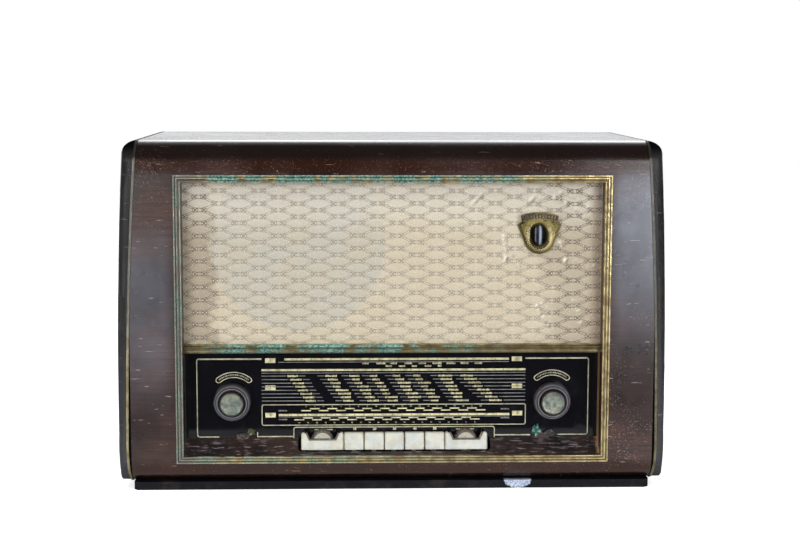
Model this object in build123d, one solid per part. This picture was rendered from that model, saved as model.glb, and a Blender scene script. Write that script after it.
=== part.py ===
from build123d import *

import math
import os

# A mains table radio with valves, in millimetres. +X is to the right of someone who faces the
# dial, +Y goes into the cabinet and +Z is up. While it is modelled, y = 0 is the veneered front
# and z = 0 the table. Each piece is moved at the end, so that the origin is the middle of the
# whole set's footprint.

# Cabinet
HEIGHT = 358.0
REAR = 257.2
PLINTH_HEIGHT = 8.5
PLY = 13.0
TOP_BEND = 22.0
FOOT_BEND = 24.0
LIP_DEPTH = 60.0
WRAP_HALF = (257.5, 266.4, 270.0, 269.6, 267.5)
CHEEK_HALF = (271.2, 278.0, 279.6, 279.4, 277.2)
CURVE_HEIGHTS = (HEIGHT, 205.0, 60.0, 30.0, PLINTH_HEIGHT)
CHEEK_TOP_ROUND = 14.0
CHEEK_EDGE_ROUND = 8.0
PIPING_WIDTH = 2.4
PIPING_PROUD = 1.0
PIPING_DEPTH = 6.0
BOARD = 8.0
BATTEN = 14.0
BACK_PANEL = 3.0
BACK_INSET = 3.2

# Front opening, its brass bezel and the bar across it
OPENING_HALF = 213.0
OPENING_LOW = 37.3
OPENING_HIGH = 316.3
BEZEL_WIDTH = 7.6
BEZEL_PROUD = 2.8
BAR_LOW = 142.0
BAR_HIGH = 151.0

# Cloth, baffle board, loudspeaker and tuning eye
CLOTH = 0.8
SPEAKER_X = -97.0
SPEAKER_Z = 250.0
SPEAKER_HOLE = 84.0
SPEAKER_RIM = 88.0
EYE_X = 148.6
EYE_Z = 262.0
EYE_TUBE_RADIUS = 10.0

# Dial
GLASS_FRONT = 24.5
GLASS = 3.0
GLASS_HALF = 216.0
GLASS_LOW = 50.0
GLASS_HIGH = 146.0
PLATE_FRONT = 33.0
PLATE = 1.2
PLATE_HALF = 205.0
PLATE_LOW = 54.0
PLATE_HIGH = 143.0
POINTER_START = -128.0

# Double knobs
KNOB_X = 165.0
KNOB_Z = 89.3
RING_RADIUS = 19.0
RING_FRONT = 10.0
RING_BACK = 22.5
RECESS_RADIUS = 13.2
INNER_RADIUS = 12.4
CAP_RADIUS = 11.5
KNOB_FRONT = 6.4
SHAFT_RADIUS = 3.0
SLEEVE_RADIUS = 5.0
RUNNING_GAP = 0.06

# Cord drive behind the dial plate
CORD_Y = 40.0
CORD = 1.0
CORD_GAP = 0.1
WHEEL_WIDTH = 5.0
PULLEY_RADIUS = 6.0
DRUM_RADIUS = 40.0
DRUM_X = 20.0
DRUM_Z = 97.0
VANES = 6
VANE = 0.8
VANE_PITCH = 5.6
PULLEY_X = 190.0
PULLEY_Z = 140.0

# Key row
ROW_X = 1.65
KEY_COUNT = 5
KEY_PITCH = 20.8
KEY_WIDTH = 19.8
BLOCK_WIDTH = 43.4
ROW_HALF = 95.65
SLOT_FRONT = 6.2
KEY_PIVOT_Y = 52.0
KEY_PIVOT_Z = 34.0
LEVER_WIDTH = 4.0
WHEEL_RADIUS = 11.6
WHEEL_Z = 49.1
WHEEL_FRONT = 11.8
WHEEL_BACK = 23.6
WHEEL_RIBS = 26

# Chassis
SHEET = 1.5
CHASSIS_HALF = 200.0
CHASSIS_FRONT = 66.0
CHASSIS_REAR = 244.0
DECK_Z = 62.0
FLOOR_Z = PLINTH_HEIGHT + BOARD
EAR_HIGH = 105.0

# Values worked out from the driving dimensions
SHIFT_Y = (BEZEL_PROUD - REAR) / 2
BAFFLE_FRONT = PLY + CLOTH
BAFFLE_BACK = BAFFLE_FRONT + BOARD
BAFFLE_HIGH = SPEAKER_Z + SPEAKER_RIM
PLATE_BACK = PLATE_FRONT + PLATE
GLASS_BACK = GLASS_FRONT + GLASS
PANEL_BACK = REAR - BACK_INSET
PANEL_FRONT = PANEL_BACK - BACK_PANEL
INNER_TOP = HEIGHT - PLY
BLOCK_X = (ROW_X - ROW_HALF + BLOCK_WIDTH / 2, ROW_X + ROW_HALF - BLOCK_WIDTH / 2)
VALVES = (
    (-60.0, 205.0, 68.0),
    (-15.0, 205.0, 58.0),
    (30.0, 205.0, 52.0),
    (75.0, 205.0, 58.0),
    (120.0, 205.0, 52.0),
    (165.0, 195.0, 66.0),
)
FERRITE_X = 150.0
FERRITE_Y = 147.0
FERRITE_Z = 297.0
GLAND_X = 120.0
SOCKETS_X = -65.0
REAR_HARDWARE_Z = 40.0


def block(x, y, z):
    """A box given by its low and high ends along each axis."""
    size = Box(x[1] - x[0], y[1] - y[0], z[1] - z[0])
    return Pos((x[0] + x[1]) / 2, (y[0] + y[1]) / 2, (z[0] + z[1]) / 2) * size


def rod_x(y, z, radius, x0, x1):
    return Pos((x0 + x1) / 2, y, z) * Rot(0, 90, 0) * Cylinder(radius, x1 - x0)


def rod_y(x, z, radius, y0, y1):
    return Pos(x, (y0 + y1) / 2, z) * Rot(90, 0, 0) * Cylinder(radius, y1 - y0)


def rod_z(x, y, radius, z0, z1):
    return Pos(x, y, (z0 + z1) / 2) * Cylinder(radius, z1 - z0)


def face_of(points):
    return make_face(Polyline(*points, close=True))


def along_x(sketch, x0, x1):
    """Extrude a sketch drawn in (y, z) from x0 to x1."""
    return extrude(Plane.YZ.offset(x0) * sketch, amount=x1 - x0)


def along_y(sketch, y0, y1):
    """Extrude a sketch drawn in (x, z) from y0 to y1."""
    return extrude(Plane.XZ.offset(-y0) * sketch, amount=y0 - y1)


def along_z(sketch, z0, z1):
    return extrude(Plane.XY.offset(z0) * sketch, amount=z1 - z0)


def turned_y(x, z, profile):
    """Revolve a profile of (radius, y) points about the line along Y through (x, z)."""
    face = Plane.XY * face_of(profile)
    return Pos(x, 0, z) * revolve(face, Axis.Y)


def turned_z(x, y, profile):
    """Revolve a profile of (radius, z) points about the upright line through (x, y)."""
    face = Plane.XZ * face_of(profile)
    return Pos(x, y, 0) * revolve(face, Axis.Z)


def bowed_outline(half_widths, inset=0.0):
    """The bowed front view of the cabinet, both sides, between the plinth and the top."""
    right = [(half - inset, z) for half, z in zip(half_widths, CURVE_HEIGHTS)]
    left = [(-x, z) for x, z in right]
    lines = [
        ThreePointArc(right[0], right[1], right[2]),
        ThreePointArc(right[2], right[3], right[4]),
        Line(right[4], left[4]),
        ThreePointArc(left[4], left[3], left[2]),
        ThreePointArc(left[2], left[1], left[0]),
        Line(left[0], right[0]),
    ]
    return make_face(Wire(lines))


def side_profile(grow=0.0, rear=REAR):
    """The cabinet's side view: round where the front turns into the top and under the foot."""
    top = HEIGHT + grow
    front = -grow
    foot = PLINTH_HEIGHT - grow
    bend = TOP_BEND + grow
    low_bend = FOOT_BEND + grow
    outline = face_of([(front, foot), (rear, foot), (rear, top), (front, top)])
    corners = outline.vertices().sort_by(Axis.X)[:2].sort_by(Axis.Y)
    outline = fillet(corners[0], low_bend)
    upper = outline.vertices().sort_by(Axis.Y)[-2:].sort_by(Axis.X)[0]
    return fillet(upper, bend)


def opening(margin=0.0, y0=-5.0, y1=PLY + 5.0):
    return block(
        (-OPENING_HALF - margin, OPENING_HALF + margin),
        (y0, y1),
        (OPENING_LOW - margin, OPENING_HIGH + margin),
    )


def cabinet_wrap():
    """Bent plywood: the top, the front with its opening, and the turn under the front."""
    hollow_face = face_of([
        (PLY, PLINTH_HEIGHT + PLY),
        (REAR + 1, PLINTH_HEIGHT + PLY),
        (REAR + 1, INNER_TOP),
        (PLY, INNER_TOP),
    ])
    hollow = along_x(hollow_face, -300, 300)
    inner_edges = hollow.edges().filter_by(Axis.X).sort_by(Axis.Y)[:2]
    hollow = fillet(inner_edges, TOP_BEND - PLY)
    shell = along_x(side_profile(), -300, 300) - hollow
    shell -= block((-300, 300), (LIP_DEPTH, REAR + 1), (0, INNER_TOP - 1))
    shell &= along_y(bowed_outline(WRAP_HALF, PIPING_WIDTH / 2), -10, REAR)
    shell -= opening()
    right_half = shell & block((0, 300), (-10, REAR + 10), (0, HEIGHT + 10))
    return right_half + mirror(right_half, about=Plane.YZ)


def cheek(side):
    """One bowed side cheek, thicker than the wrap shows and rounded along its outer edge."""
    outer = bowed_outline(CHEEK_HALF)
    corners = outer.vertices().sort_by(Axis.Y)
    outer = fillet(corners[-2:], CHEEK_TOP_ROUND)
    body = along_y(outer, 0, REAR)
    front_rim = body.faces().sort_by(Axis.Y)[0].edges()
    body = fillet(front_rim, CHEEK_EDGE_ROUND)
    body &= along_x(side_profile(), -300, 300)
    body -= along_y(bowed_outline(WRAP_HALF, -PIPING_WIDTH / 2), -10, REAR + 10)
    keep = block((0, 300) if side > 0 else (-300, 0), (-10, REAR + 10), (0, HEIGHT + 10))
    return body & keep


def side_piping():
    """The brass strip let in between the wrap and each cheek, a little proud of both."""
    strips = along_y(bowed_outline(WRAP_HALF, -PIPING_WIDTH / 2), -10, REAR)
    strips -= along_y(bowed_outline(WRAP_HALF, PIPING_WIDTH / 2), -11, REAR + 1)
    proud = along_x(side_profile(PIPING_PROUD), -300, 300)
    core = along_x(side_profile(-PIPING_DEPTH, REAR + 1), -300, 300)
    return (strips & proud) - core - block((-300, 300), (LIP_DEPTH, 300), (0, 60))


def bottom_board():
    face = bowed_outline(WRAP_HALF, PIPING_WIDTH / 2)
    board = along_y(face, LIP_DEPTH, REAR) & block((-300, 300), (0, 300), (0, FLOOR_Z))
    slot = Rectangle(46, 5)
    for row in range(3):
        for column in range(4):
            x = -150 + 100 * column
            y = 110 + 45 * row
            board -= along_z(Pos(x, y) * slot, 0, FLOOR_Z + 1)
    return board


def plinth():
    half, front, rear, rail = 265.5, 8.0, REAR - 8.0, 20.0
    frame = block((-half, half), (front, rear), (0, PLINTH_HEIGHT))
    frame -= block((rail - half, half - rail), (front + rail, rear - rail), (-1, PLINTH_HEIGHT + 1))
    upright = frame.edges().filter_by(Axis.Z).sort_by(Axis.Y)
    return chamfer([upright[0], upright[1], upright[-1], upright[-2]], 4.0)


def back_battens():
    """Softwood strips glued into the rear corners, for the back panel's screws."""
    rear = PANEL_FRONT
    outer = along_y(bowed_outline(WRAP_HALF, PIPING_WIDTH / 2), rear - BATTEN, rear)
    outer &= block((-300, 300), (0, 300), (FLOOR_Z, INNER_TOP))
    inner = block(
        (BATTEN - WRAP_HALF[0], WRAP_HALF[0] - BATTEN),
        (0, 300),
        (0, INNER_TOP - BATTEN),
    )
    return outer - inner


def frame_ring(margin_out, margin_in, y0, y1):
    return opening(margin_out, y0, y1) - opening(margin_in, y0 - 1, y1 + 1)


def brass_bezel():
    """A mitred brass moulding: thin outer lip, groove, then a rounded bead at the opening."""
    flange = frame_ring(BEZEL_WIDTH, 0, -0.8, 0)
    lip = frame_ring(BEZEL_WIDTH, BEZEL_WIDTH - 1.6, -1.8, -0.8)
    bead = frame_ring(3.8, 0, -BEZEL_PROUD, -0.8)
    front_edges = bead.faces().sort_by(Axis.Y)[0].edges()
    bead = fillet(front_edges, 1.5)
    return flange + lip + bead


def divider_bar():
    """The brass bar between cloth and dial, a flat strip with a half-round bead on it."""
    middle = (BAR_LOW + BAR_HIGH) / 2
    strip = block((-OPENING_HALF, OPENING_HALF), (9.0, PLY), (BAR_LOW, BAR_HIGH))
    bead = rod_x(9.0, middle + 1.0, 2.6, -OPENING_HALF, OPENING_HALF)
    lip = block((-OPENING_HALF, OPENING_HALF), (7.4, 9.0), (BAR_LOW, BAR_LOW + 1.4))
    return strip + bead + lip


def dial_surround():
    """The dark sill that slopes up to the dial, its side walls and the slot for the keys."""
    sill_face = face_of([
        (2.0, OPENING_LOW),
        (GLASS_FRONT, GLASS_LOW),
        (GLASS_FRONT, 33.0),
        (PLY + 0.1, 33.0),
        (PLY + 0.1, OPENING_LOW),
    ])
    sill = along_x(sill_face, -OPENING_HALF, OPENING_HALF)
    for side in (-1, 1):
        near, far = sorted((side * OPENING_HALF, side * (OPENING_HALF + 4.0)))
        sill += block((near, far), (PLY, GLASS_FRONT), (33.0, BAR_LOW))
        clip = side * 154.5
        sill -= block((clip - 7, clip + 7), (23.4, 30), (48.6, 60))
    slot = Rectangle(2 * ROW_HALF + 7.4, 40)
    slot = fillet(slot.vertices(), 6.0)
    return sill - along_z(Pos(ROW_X + 0.2, SLOT_FRONT + 20) * slot, 0, 100)


def baffle_board():
    board = block((-240, 240), (BAFFLE_FRONT, BAFFLE_BACK), (BAR_LOW + 1, BAFFLE_HIGH))
    board -= rod_y(SPEAKER_X, SPEAKER_Z, SPEAKER_HOLE, 0, 40)
    return board - block((EYE_X - 11.5, EYE_X + 11.5), (0, 40), (EYE_Z - 33, EYE_Z + 33))


def speaker_cloth():
    cloth = block((-224, 224), (PLY, BAFFLE_FRONT), (BAR_LOW + 1, 326))
    window = SlotCenterToCenter(6.0, 14.0, rotation=90)
    return cloth - along_y(Pos(EYE_X, EYE_Z) * window, 0, 30)


def shield(scale_to=1.0):
    """The escutcheon's outline: a flat-topped shield with sides that run down to a round foot."""
    wing, neck, shoulder = 22.3 * scale_to, 15.5 * scale_to, 10.8
    foot = 18.7 * scale_to
    lines = [
        Line((-wing + 4, shoulder + 3), (wing - 4, shoulder + 3)),
        Line((wing - 4, shoulder + 3), (wing, shoulder)),
        Line((wing, shoulder), (neck, -6)),
        ThreePointArc((neck, -6), (0, -foot), (-neck, -6)),
        Line((-neck, -6), (-wing, shoulder)),
        Line((-wing, shoulder), (-wing + 4, shoulder + 3)),
    ]
    return make_face(Wire(lines))


def eye_escutcheon():
    """Stepped brass shield with a funnel down to the window and an arched ribbed band."""
    centre = Pos(EYE_X, EYE_Z)
    body = along_y(centre * shield(), 10.6, PLY)
    body += along_y(centre * shield(0.86), 8.4, 10.6)
    rim_face = Plane.XZ.offset(-8.0) * centre * SlotCenterToCenter(7.5, 21.0, rotation=90)
    throat_face = Plane.XZ.offset(-12.0) * centre * SlotCenterToCenter(6.5, 13.5, rotation=90)
    funnel = loft([rim_face.face(), throat_face.face()])
    window = along_y(centre * SlotCenterToCenter(6.5, 13.5, rotation=90), 5, 20)
    arch = ThreePointArc((-19.3, 20.4), (0, 24.0), (19.3, 20.4))
    sill = ThreePointArc((18.2, 14.2), (0, 17.8), (-18.2, 14.2))
    ends = [Line((19.3, 20.4), (18.2, 14.2)), Line((-18.2, 14.2), (-19.3, 20.4))]
    band = along_y(centre * make_face(Wire([arch, ends[0], sill, ends[1]])), 7.4, PLY)
    bridge = along_y(centre * (Pos(0, 13.5) * Rectangle(30, 7)), 9.6, PLY)
    return (body + bridge + band) - funnel - window


def eye_tube():
    """The glass envelope of the tuning eye valve, upright behind its window."""
    profile = [
        (0, EYE_Z - 30),
        (EYE_TUBE_RADIUS, EYE_Z - 30),
        (EYE_TUBE_RADIUS, EYE_Z + 22),
        (6.5, EYE_Z + 27.5),
        (1.6, EYE_Z + 29),
        (0, EYE_Z + 31.5),
    ]
    return turned_z(EYE_X, 26.0, profile)


def eye_bracket():
    """Spring clamp that holds the eye valve against the back of the baffle board."""
    low, high = EYE_Z - 14, EYE_Z - 2
    band = rod_z(EYE_X, 26, EYE_TUBE_RADIUS + 1.3, low, high)
    band -= block((0, 300), (0, BAFFLE_BACK), (low - 1, high + 1))
    flange = block((EYE_X - 24, EYE_X + 24), (BAFFLE_BACK, BAFFLE_BACK + 1.2), (low, high))
    return band + flange - rod_z(EYE_X, 26, EYE_TUBE_RADIUS + 0.1, low - 1, high + 1)


def dial_glass():
    glass = block((-GLASS_HALF, GLASS_HALF), (GLASS_FRONT, GLASS_BACK), (GLASS_LOW, GLASS_HIGH))
    glass -= block((ROW_X - 98, ROW_X + 98), (0, 40), (0, GLASS_LOW + 3))
    for x in (-KNOB_X, KNOB_X):
        glass -= rod_y(x, KNOB_Z, SLEEVE_RADIUS + 1.5, 0, 40)
    return glass


def dial_back_plate():
    """Painted steel plate behind the glass, folded back at both ends to reach the chassis."""
    plate = block((-PLATE_HALF, PLATE_HALF), (PLATE_FRONT, PLATE_BACK), (PLATE_LOW, PLATE_HIGH))
    for side in (-1, 1):
        x = side * KNOB_X
        plate -= rod_y(x, KNOB_Z, SLEEVE_RADIUS + RUNNING_GAP, 0, 60)
        plate -= rod_y(side * 192, 70, 6.2, 0, 60)
        near, far = sorted((side * (PLATE_HALF - PLATE), side * PLATE_HALF))
        plate += block((near, far), (PLATE_BACK, CHASSIS_FRONT), (PLATE_LOW, PLATE_LOW + 40))
        near, far = sorted((side * (PLATE_HALF - 16), side * PLATE_HALF))
        foot_y = (CHASSIS_FRONT - PLATE, CHASSIS_FRONT)
        plate += block((near, far), foot_y, (PLATE_LOW, DECK_Z + 12))
        axle = side * PULLEY_X
        plate += rod_y(axle, PULLEY_Z, 1.5, PLATE_BACK, CORD_Y + 5)
    return plate


def dial_lamps():
    """Two small scale lamps, each a holder behind the plate and a bulb through its hole."""
    pieces = []
    for side in (-1, 1):
        profile = [(0, 28.8), (4.8, 31.5), (4.8, PLATE_BACK), (7.0, PLATE_BACK), (7.0, 48.0), (0, 48.0)]
        pieces.append(turned_y(side * 192, 70, profile))
    return Compound(children=pieces)


def glass_clips():
    """Four folded spring-steel clips that hold the glass by its edges."""
    pieces = []
    for side in (-1, 1):
        x = (side * 154.5 - 6.2, side * 154.5 + 6.2)
        low = block(x, (23.5, PLATE_FRONT), (GLASS_LOW - 1.2, GLASS_LOW))
        low += block(x, (23.5, GLASS_FRONT), (GLASS_LOW - 1.2, GLASS_LOW + 4.5))
        low += block(x, (PLATE_FRONT - 1, PLATE_FRONT), (GLASS_LOW - 1.2, GLASS_LOW + 10))
        high = block(x, (23.5, PLATE_FRONT), (GLASS_HIGH, GLASS_HIGH + 1.2))
        high += block(x, (23.5, GLASS_FRONT), (GLASS_HIGH - 4, GLASS_HIGH + 1.2))
        high += block(x, (PLATE_FRONT - 1, PLATE_FRONT), (PLATE_HIGH - 8, GLASS_HIGH + 1.2))
        pieces += [low, high]
    return Compound(children=pieces)


def wheel_profile(radius, flange=2.0):
    """Half section of a grooved cord wheel, as (radius, y) points without its bore."""
    half = WHEEL_WIDTH / 2
    groove = 0.7
    return [
        (0, CORD_Y - half),
        (radius + flange, CORD_Y - half),
        (radius, CORD_Y - groove),
        (radius, CORD_Y + groove),
        (radius + flange, CORD_Y + half),
        (0, CORD_Y + half),
    ]


def pulley(side):
    wheel = turned_y(side * PULLEY_X, PULLEY_Z, wheel_profile(PULLEY_RADIUS))
    return wheel - rod_y(side * PULLEY_X, PULLEY_Z, 1.5 + RUNNING_GAP, 0, 60)


def cord_drum():
    """The large drum on the capacitor's front bush, with four openings in its web."""
    drum = turned_y(DRUM_X, DRUM_Z, wheel_profile(DRUM_RADIUS))
    for quarter in range(4):
        angle = math.radians(45 + 90 * quarter)
        x = DRUM_X + 23 * math.cos(angle)
        z = DRUM_Z + 23 * math.sin(angle)
        drum -= rod_y(x, z, 9.0, 30, 50)
    drum += rod_y(DRUM_X, DRUM_Z, 7.0, 36.5, 46.0)
    return drum - rod_y(DRUM_X, DRUM_Z, 4.0 + RUNNING_GAP, 0, 60)


def dial_cord():
    """One endless cord in a single plane round the drum, the spindle and both pulleys."""
    wheels = (
        (-PULLEY_X, PULLEY_Z, PULLEY_RADIUS),
        (PULLEY_X, PULLEY_Z, PULLEY_RADIUS),
        (KNOB_X, KNOB_Z, PULLEY_RADIUS),
        (DRUM_X, DRUM_Z, DRUM_RADIUS),
    )
    loops = []
    for reach in (CORD_GAP, CORD_GAP + CORD):
        rims = [Pos(x, z) * Circle(radius + reach) for x, z, radius in wheels]
        edges = [rim.edge() for rim in rims]
        loops.append(make_hull(edges))
    ring = loops[1] - loops[0]
    return along_y(ring, CORD_Y - CORD / 2, CORD_Y + CORD / 2)


def am_pointer():
    """Long needle in front of the plate, its saddle over the plate's edge and its cord clip."""
    x = POINTER_START
    needle = block((x - 0.6, x + 0.6), (28.7, 29.5), (61, 145))
    saddle = block((x - 6, x + 6), (28.7, 42), (143.5, 144.9))
    clip = block((x - 4, x + 4), (38.4, 41.6), (144.9, 148.6))
    clip -= block((x - 5, x + 5), (39.2, 40.8), (145.8, 147.4))
    return needle + saddle + clip


def fm_pointer():
    """Short needle for the lower band, carried on a saddle under the plate's lower edge."""
    x = POINTER_START
    needle = block((x - 0.6, x + 0.6), (30.6, 31.4), (52.5, 86))
    saddle = block((x - 6, x + 6), (30.6, 36.2), (52.5, 53.6))
    tail = block((x - 6, x + 6), (35.0, 36.2), (52.5, 58))
    return needle + saddle + tail


def double_knob_ring(side):
    """Outer ring of a double knob with stepped rings on its face, on its own sleeve."""
    profile = [
        (0, 16.0),
        (RECESS_RADIUS, 16.0),
        (RECESS_RADIUS, RING_FRONT + 1.0),
        (RECESS_RADIUS + 1.0, RING_FRONT),
        (RING_RADIUS - 3.2, RING_FRONT),
        (RING_RADIUS - 2.8, RING_FRONT + 1.6),
        (RING_RADIUS - 1.6, RING_FRONT + 1.6),
        (RING_RADIUS - 1.2, RING_FRONT + 3.4),
        (RING_RADIUS, RING_FRONT + 4.4),
        (RING_RADIUS, RING_BACK),
        (SLEEVE_RADIUS, RING_BACK),
        (SLEEVE_RADIUS, 28.8),
        (9.0, 28.8),
        (9.0, 32.0),
        (SLEEVE_RADIUS, 32.0),
        (SLEEVE_RADIUS, 36.4),
        (0, 36.4),
    ]
    ring = turned_y(side * KNOB_X, KNOB_Z, profile)
    return ring - rod_y(side * KNOB_X, KNOB_Z, SHAFT_RADIUS + RUNNING_GAP, 0, 60)


def inner_knob(side, shaft_end=15.8):
    """Inner knob: a plain drum with a rolled front edge, over the end of the shaft."""
    profile = [
        (0, KNOB_FRONT + 0.8),
        (CAP_RADIUS, KNOB_FRONT + 0.8),
        (CAP_RADIUS, KNOB_FRONT),
        (INNER_RADIUS - 0.3, KNOB_FRONT),
        (INNER_RADIUS, KNOB_FRONT + 0.8),
        (INNER_RADIUS, 15.4),
        (SHAFT_RADIUS, 15.4),
        (SHAFT_RADIUS, shaft_end),
        (0, shaft_end),
    ]
    return turned_y(side * KNOB_X, KNOB_Z, profile)


def knob_cap(side):
    """The brass disc let into the inner knob's face, dished towards its middle."""
    edge = CAP_RADIUS - 0.05
    front = KNOB_FRONT
    back = front + 0.8
    dish = [(0, front + 0.3), (8, front), (10.6, front - 0.8)]
    rim = [(edge, front - 0.2), (edge, back), (0, back)]
    return turned_y(side * KNOB_X, KNOB_Z, dish + rim)


def tuning_spindle():
    """Shaft behind the tuning knob with the cord boss and the brass-rimmed flywheel."""
    shaft = rod_y(KNOB_X, KNOB_Z, SHAFT_RADIUS, 15.8, 72)
    boss = turned_y(KNOB_X, KNOB_Z, wheel_profile(PULLEY_RADIUS))
    flywheel_face = [(0, 50), (16, 50), (16, 46), (24, 46), (24, 58), (0, 58)]
    return shaft + boss + turned_y(KNOB_X, KNOB_Z, flywheel_face)


def potentiometers():
    """The volume control on its chassis ear and the two tone controls inside the chassis."""
    places = [(-KNOB_X, KNOB_Z), (BLOCK_X[0], WHEEL_Z), (BLOCK_X[1], WHEEL_Z)]
    pieces = []
    wall_back = CHASSIS_FRONT + SHEET
    for x, z in places:
        body = rod_y(x, z, 9.5, wall_back, wall_back + 12)
        body += rod_y(x, z, 4.45, CHASSIS_FRONT - 5, wall_back)
        body -= rod_y(x, z, SHAFT_RADIUS + RUNNING_GAP, 0, wall_back + 9)
        pieces.append(body)
    return Compound(children=pieces)


def cap_outline():
    """Side view of a key cap: a leaning front, a rounded brow and a flat top."""
    outline = face_of([(7.2, 41.4), (9.9, 58.7), (20.6, 57.2), (21.0, 44.6), (17.0, 41.4)])
    brow = outline.vertices().sort_by(Axis.Y)[-1]
    return fillet(brow, 3.2)


def soften_cap(cap, size):
    """Break the side edges of a cap's front, brow and top."""
    edges = cap.faces().filter_by(Axis.X).edges()
    shown = edges.filter_by(lambda e: e.center().Y < 18 and e.center().Z > 45)
    return chamfer(shown, size)


def arm_outline(reach):
    return face_of([
        (16, 42.5), (20, 47), (24, 45), (34, 39),
        (reach, 39), (reach, 29), (32, 29), (22, 36),
    ])


def key(index):
    """A key cap on its flat lever, bored for the pivot rod."""
    x = ROW_X + (index - (KEY_COUNT - 1) / 2) * KEY_PITCH
    cap = along_x(cap_outline(), x - KEY_WIDTH / 2, x + KEY_WIDTH / 2)
    cap = soften_cap(cap, 0.8)
    arm = along_x(arm_outline(KEY_PIVOT_Y), x - LEVER_WIDTH / 2, x + LEVER_WIDTH / 2)
    eye = rod_x(KEY_PIVOT_Y, KEY_PIVOT_Z, 5.0, x - LEVER_WIDTH / 2, x + LEVER_WIDTH / 2)
    bore = rod_x(KEY_PIVOT_Y, KEY_PIVOT_Z, 2.0 + RUNNING_GAP, x - 5, x + 5)
    return cap + arm + eye - bore


def key_end_blocks():
    """Fixed blocks at both ends of the key row, notched and hollow for the tone wheels."""
    pieces = []
    for side, x in zip((-1, 1), BLOCK_X):
        half = BLOCK_WIDTH / 2
        body = along_x(cap_outline(), x - half, x + half)
        body = soften_cap(body, 1.2)
        hollow = half - 3.2
        body -= block((x - hollow, x + hollow), (11.2, 30), (30, 70))
        notch = face_of([
            (x - 17.4, 60), (x - 17.4, 58.9), (x - 14, 51),
            (x + 14, 51), (x + 17.4, 58.9), (x + 17.4, 60),
        ])
        body -= along_y(notch, 0, 30)
        near, far = sorted((x + side * (half - 3), x + side * (half - 0.4)))
        body += along_x(arm_outline(CHASSIS_FRONT), near, far)
        pieces.append(body)
    return Compound(children=pieces)


def thumb_wheel(x):
    """Ribbed tone wheel on a shaft that ends in its potentiometer."""
    count = 2 * WHEEL_RIBS
    points = []
    for step in range(count):
        radius = WHEEL_RADIUS - 0.9 * (step % 2)
        angle = 2 * math.pi * step / count
        points.append((x + radius * math.cos(angle), WHEEL_Z + radius * math.sin(angle)))
    wheel = along_y(face_of(points), WHEEL_FRONT + 0.8, WHEEL_BACK)
    wheel += rod_y(x, WHEEL_Z, WHEEL_RADIUS - 2.2, WHEEL_FRONT, WHEEL_FRONT + 0.8)
    return wheel + rod_y(x, WHEEL_Z, SHAFT_RADIUS, WHEEL_BACK, CHASSIS_FRONT + SHEET + 8)


def key_switch_unit():
    """Switch bank behind the keys: a comb that guides the levers, with the pivot rod through it."""
    half = KEY_COUNT * KEY_PITCH / 2
    body = block((ROW_X - half, ROW_X + half), (38, CHASSIS_FRONT), (24, 46))
    for index in range(KEY_COUNT):
        x = ROW_X + (index - (KEY_COUNT - 1) / 2) * KEY_PITCH
        body -= block((x - 2.6, x + 2.6), (30, 58), (20, 50))
    return body + rod_x(KEY_PIVOT_Y, KEY_PIVOT_Z, 2.0, ROW_X - half, ROW_X + half)


def chassis():
    """Folded steel tray, open below, with ears for the volume control and the spindle."""
    outer = block((-CHASSIS_HALF, CHASSIS_HALF), (CHASSIS_FRONT, CHASSIS_REAR), (FLOOR_Z, DECK_Z))
    inner = block(
        (SHEET - CHASSIS_HALF, CHASSIS_HALF - SHEET),
        (CHASSIS_FRONT + SHEET, CHASSIS_REAR - SHEET),
        (0, DECK_Z - SHEET),
    )
    tray = outer - inner
    wall = (CHASSIS_FRONT, CHASSIS_FRONT + SHEET)
    for x in (-KNOB_X, KNOB_X):
        tray += block((x - 17, x + 17), wall, (DECK_Z, EAR_HIGH))
    tray -= rod_y(-KNOB_X, KNOB_Z, 4.5, 60, 80)
    tray -= rod_y(KNOB_X, KNOB_Z, SHAFT_RADIUS + RUNNING_GAP, 60, 80)
    for x in BLOCK_X:
        tray -= rod_y(x, WHEEL_Z, 4.5, 60, 80)
    return tray - rod_y(GLAND_X, REAR_HARDWARE_Z, 7.0, CHASSIS_REAR - 10, CHASSIS_REAR + 10)


def mains_transformer():
    """Laminated core with the wound bobbin through its window, and four clamp feet."""
    x, y, z = -150.0, 190.0, DECK_Z
    core = block((x - 38, x + 38), (y - 20, y + 20), (z + 6, z + 70))
    for side in (-1, 1):
        middle = x + side * 19
        core -= block((middle - 6.5, middle + 6.5), (y - 30, y + 30), (z + 18, z + 58))
    bobbin = block((x - 24, x + 24), (y - 34, y + 34), (z + 19, z + 57))
    bobbin = fillet(bobbin.edges().filter_by(Axis.Z), 5.0)
    feet = block((x - 42, x + 42), (y - 22, y - 18), (z, z + 8))
    feet += block((x - 42, x + 42), (y + 18, y + 22), (z, z + 8))
    return core + bobbin + feet


def output_transformer():
    x, y, z = -165.0, 112.0, DECK_Z
    core = block((x - 23, x + 23), (y - 9, y + 9), (z + 1, z + 39))
    coil = block((x - 14, x + 14), (y - 17, y + 17), (z + 8, z + 32))
    coil = fillet(coil.edges().filter_by(Axis.Z), 4.0)
    strap = block((x - 32, x + 32), (y - 7, y + 7), (z, z + 1))
    return core + coil + strap


def smoothing_capacitor():
    z = DECK_Z
    profile = [(0, z), (19, z), (19, z + 3), (17, z + 3), (17, z + 68), (15.5, z + 70), (0, z + 70)]
    return turned_z(-95, 130, profile)


def valve_sockets():
    """Moulded sockets on the deck, each a cup that a valve stands in."""
    pieces = []
    for x, y, _ in VALVES:
        low, floor, top = DECK_Z, DECK_Z + 2, DECK_Z + 7
        profile = [(0, low), (13, low), (12.4, top), (11, top), (11, floor), (0, floor)]
        pieces.append(turned_z(x, y, profile))
    return Compound(children=pieces)


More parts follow.
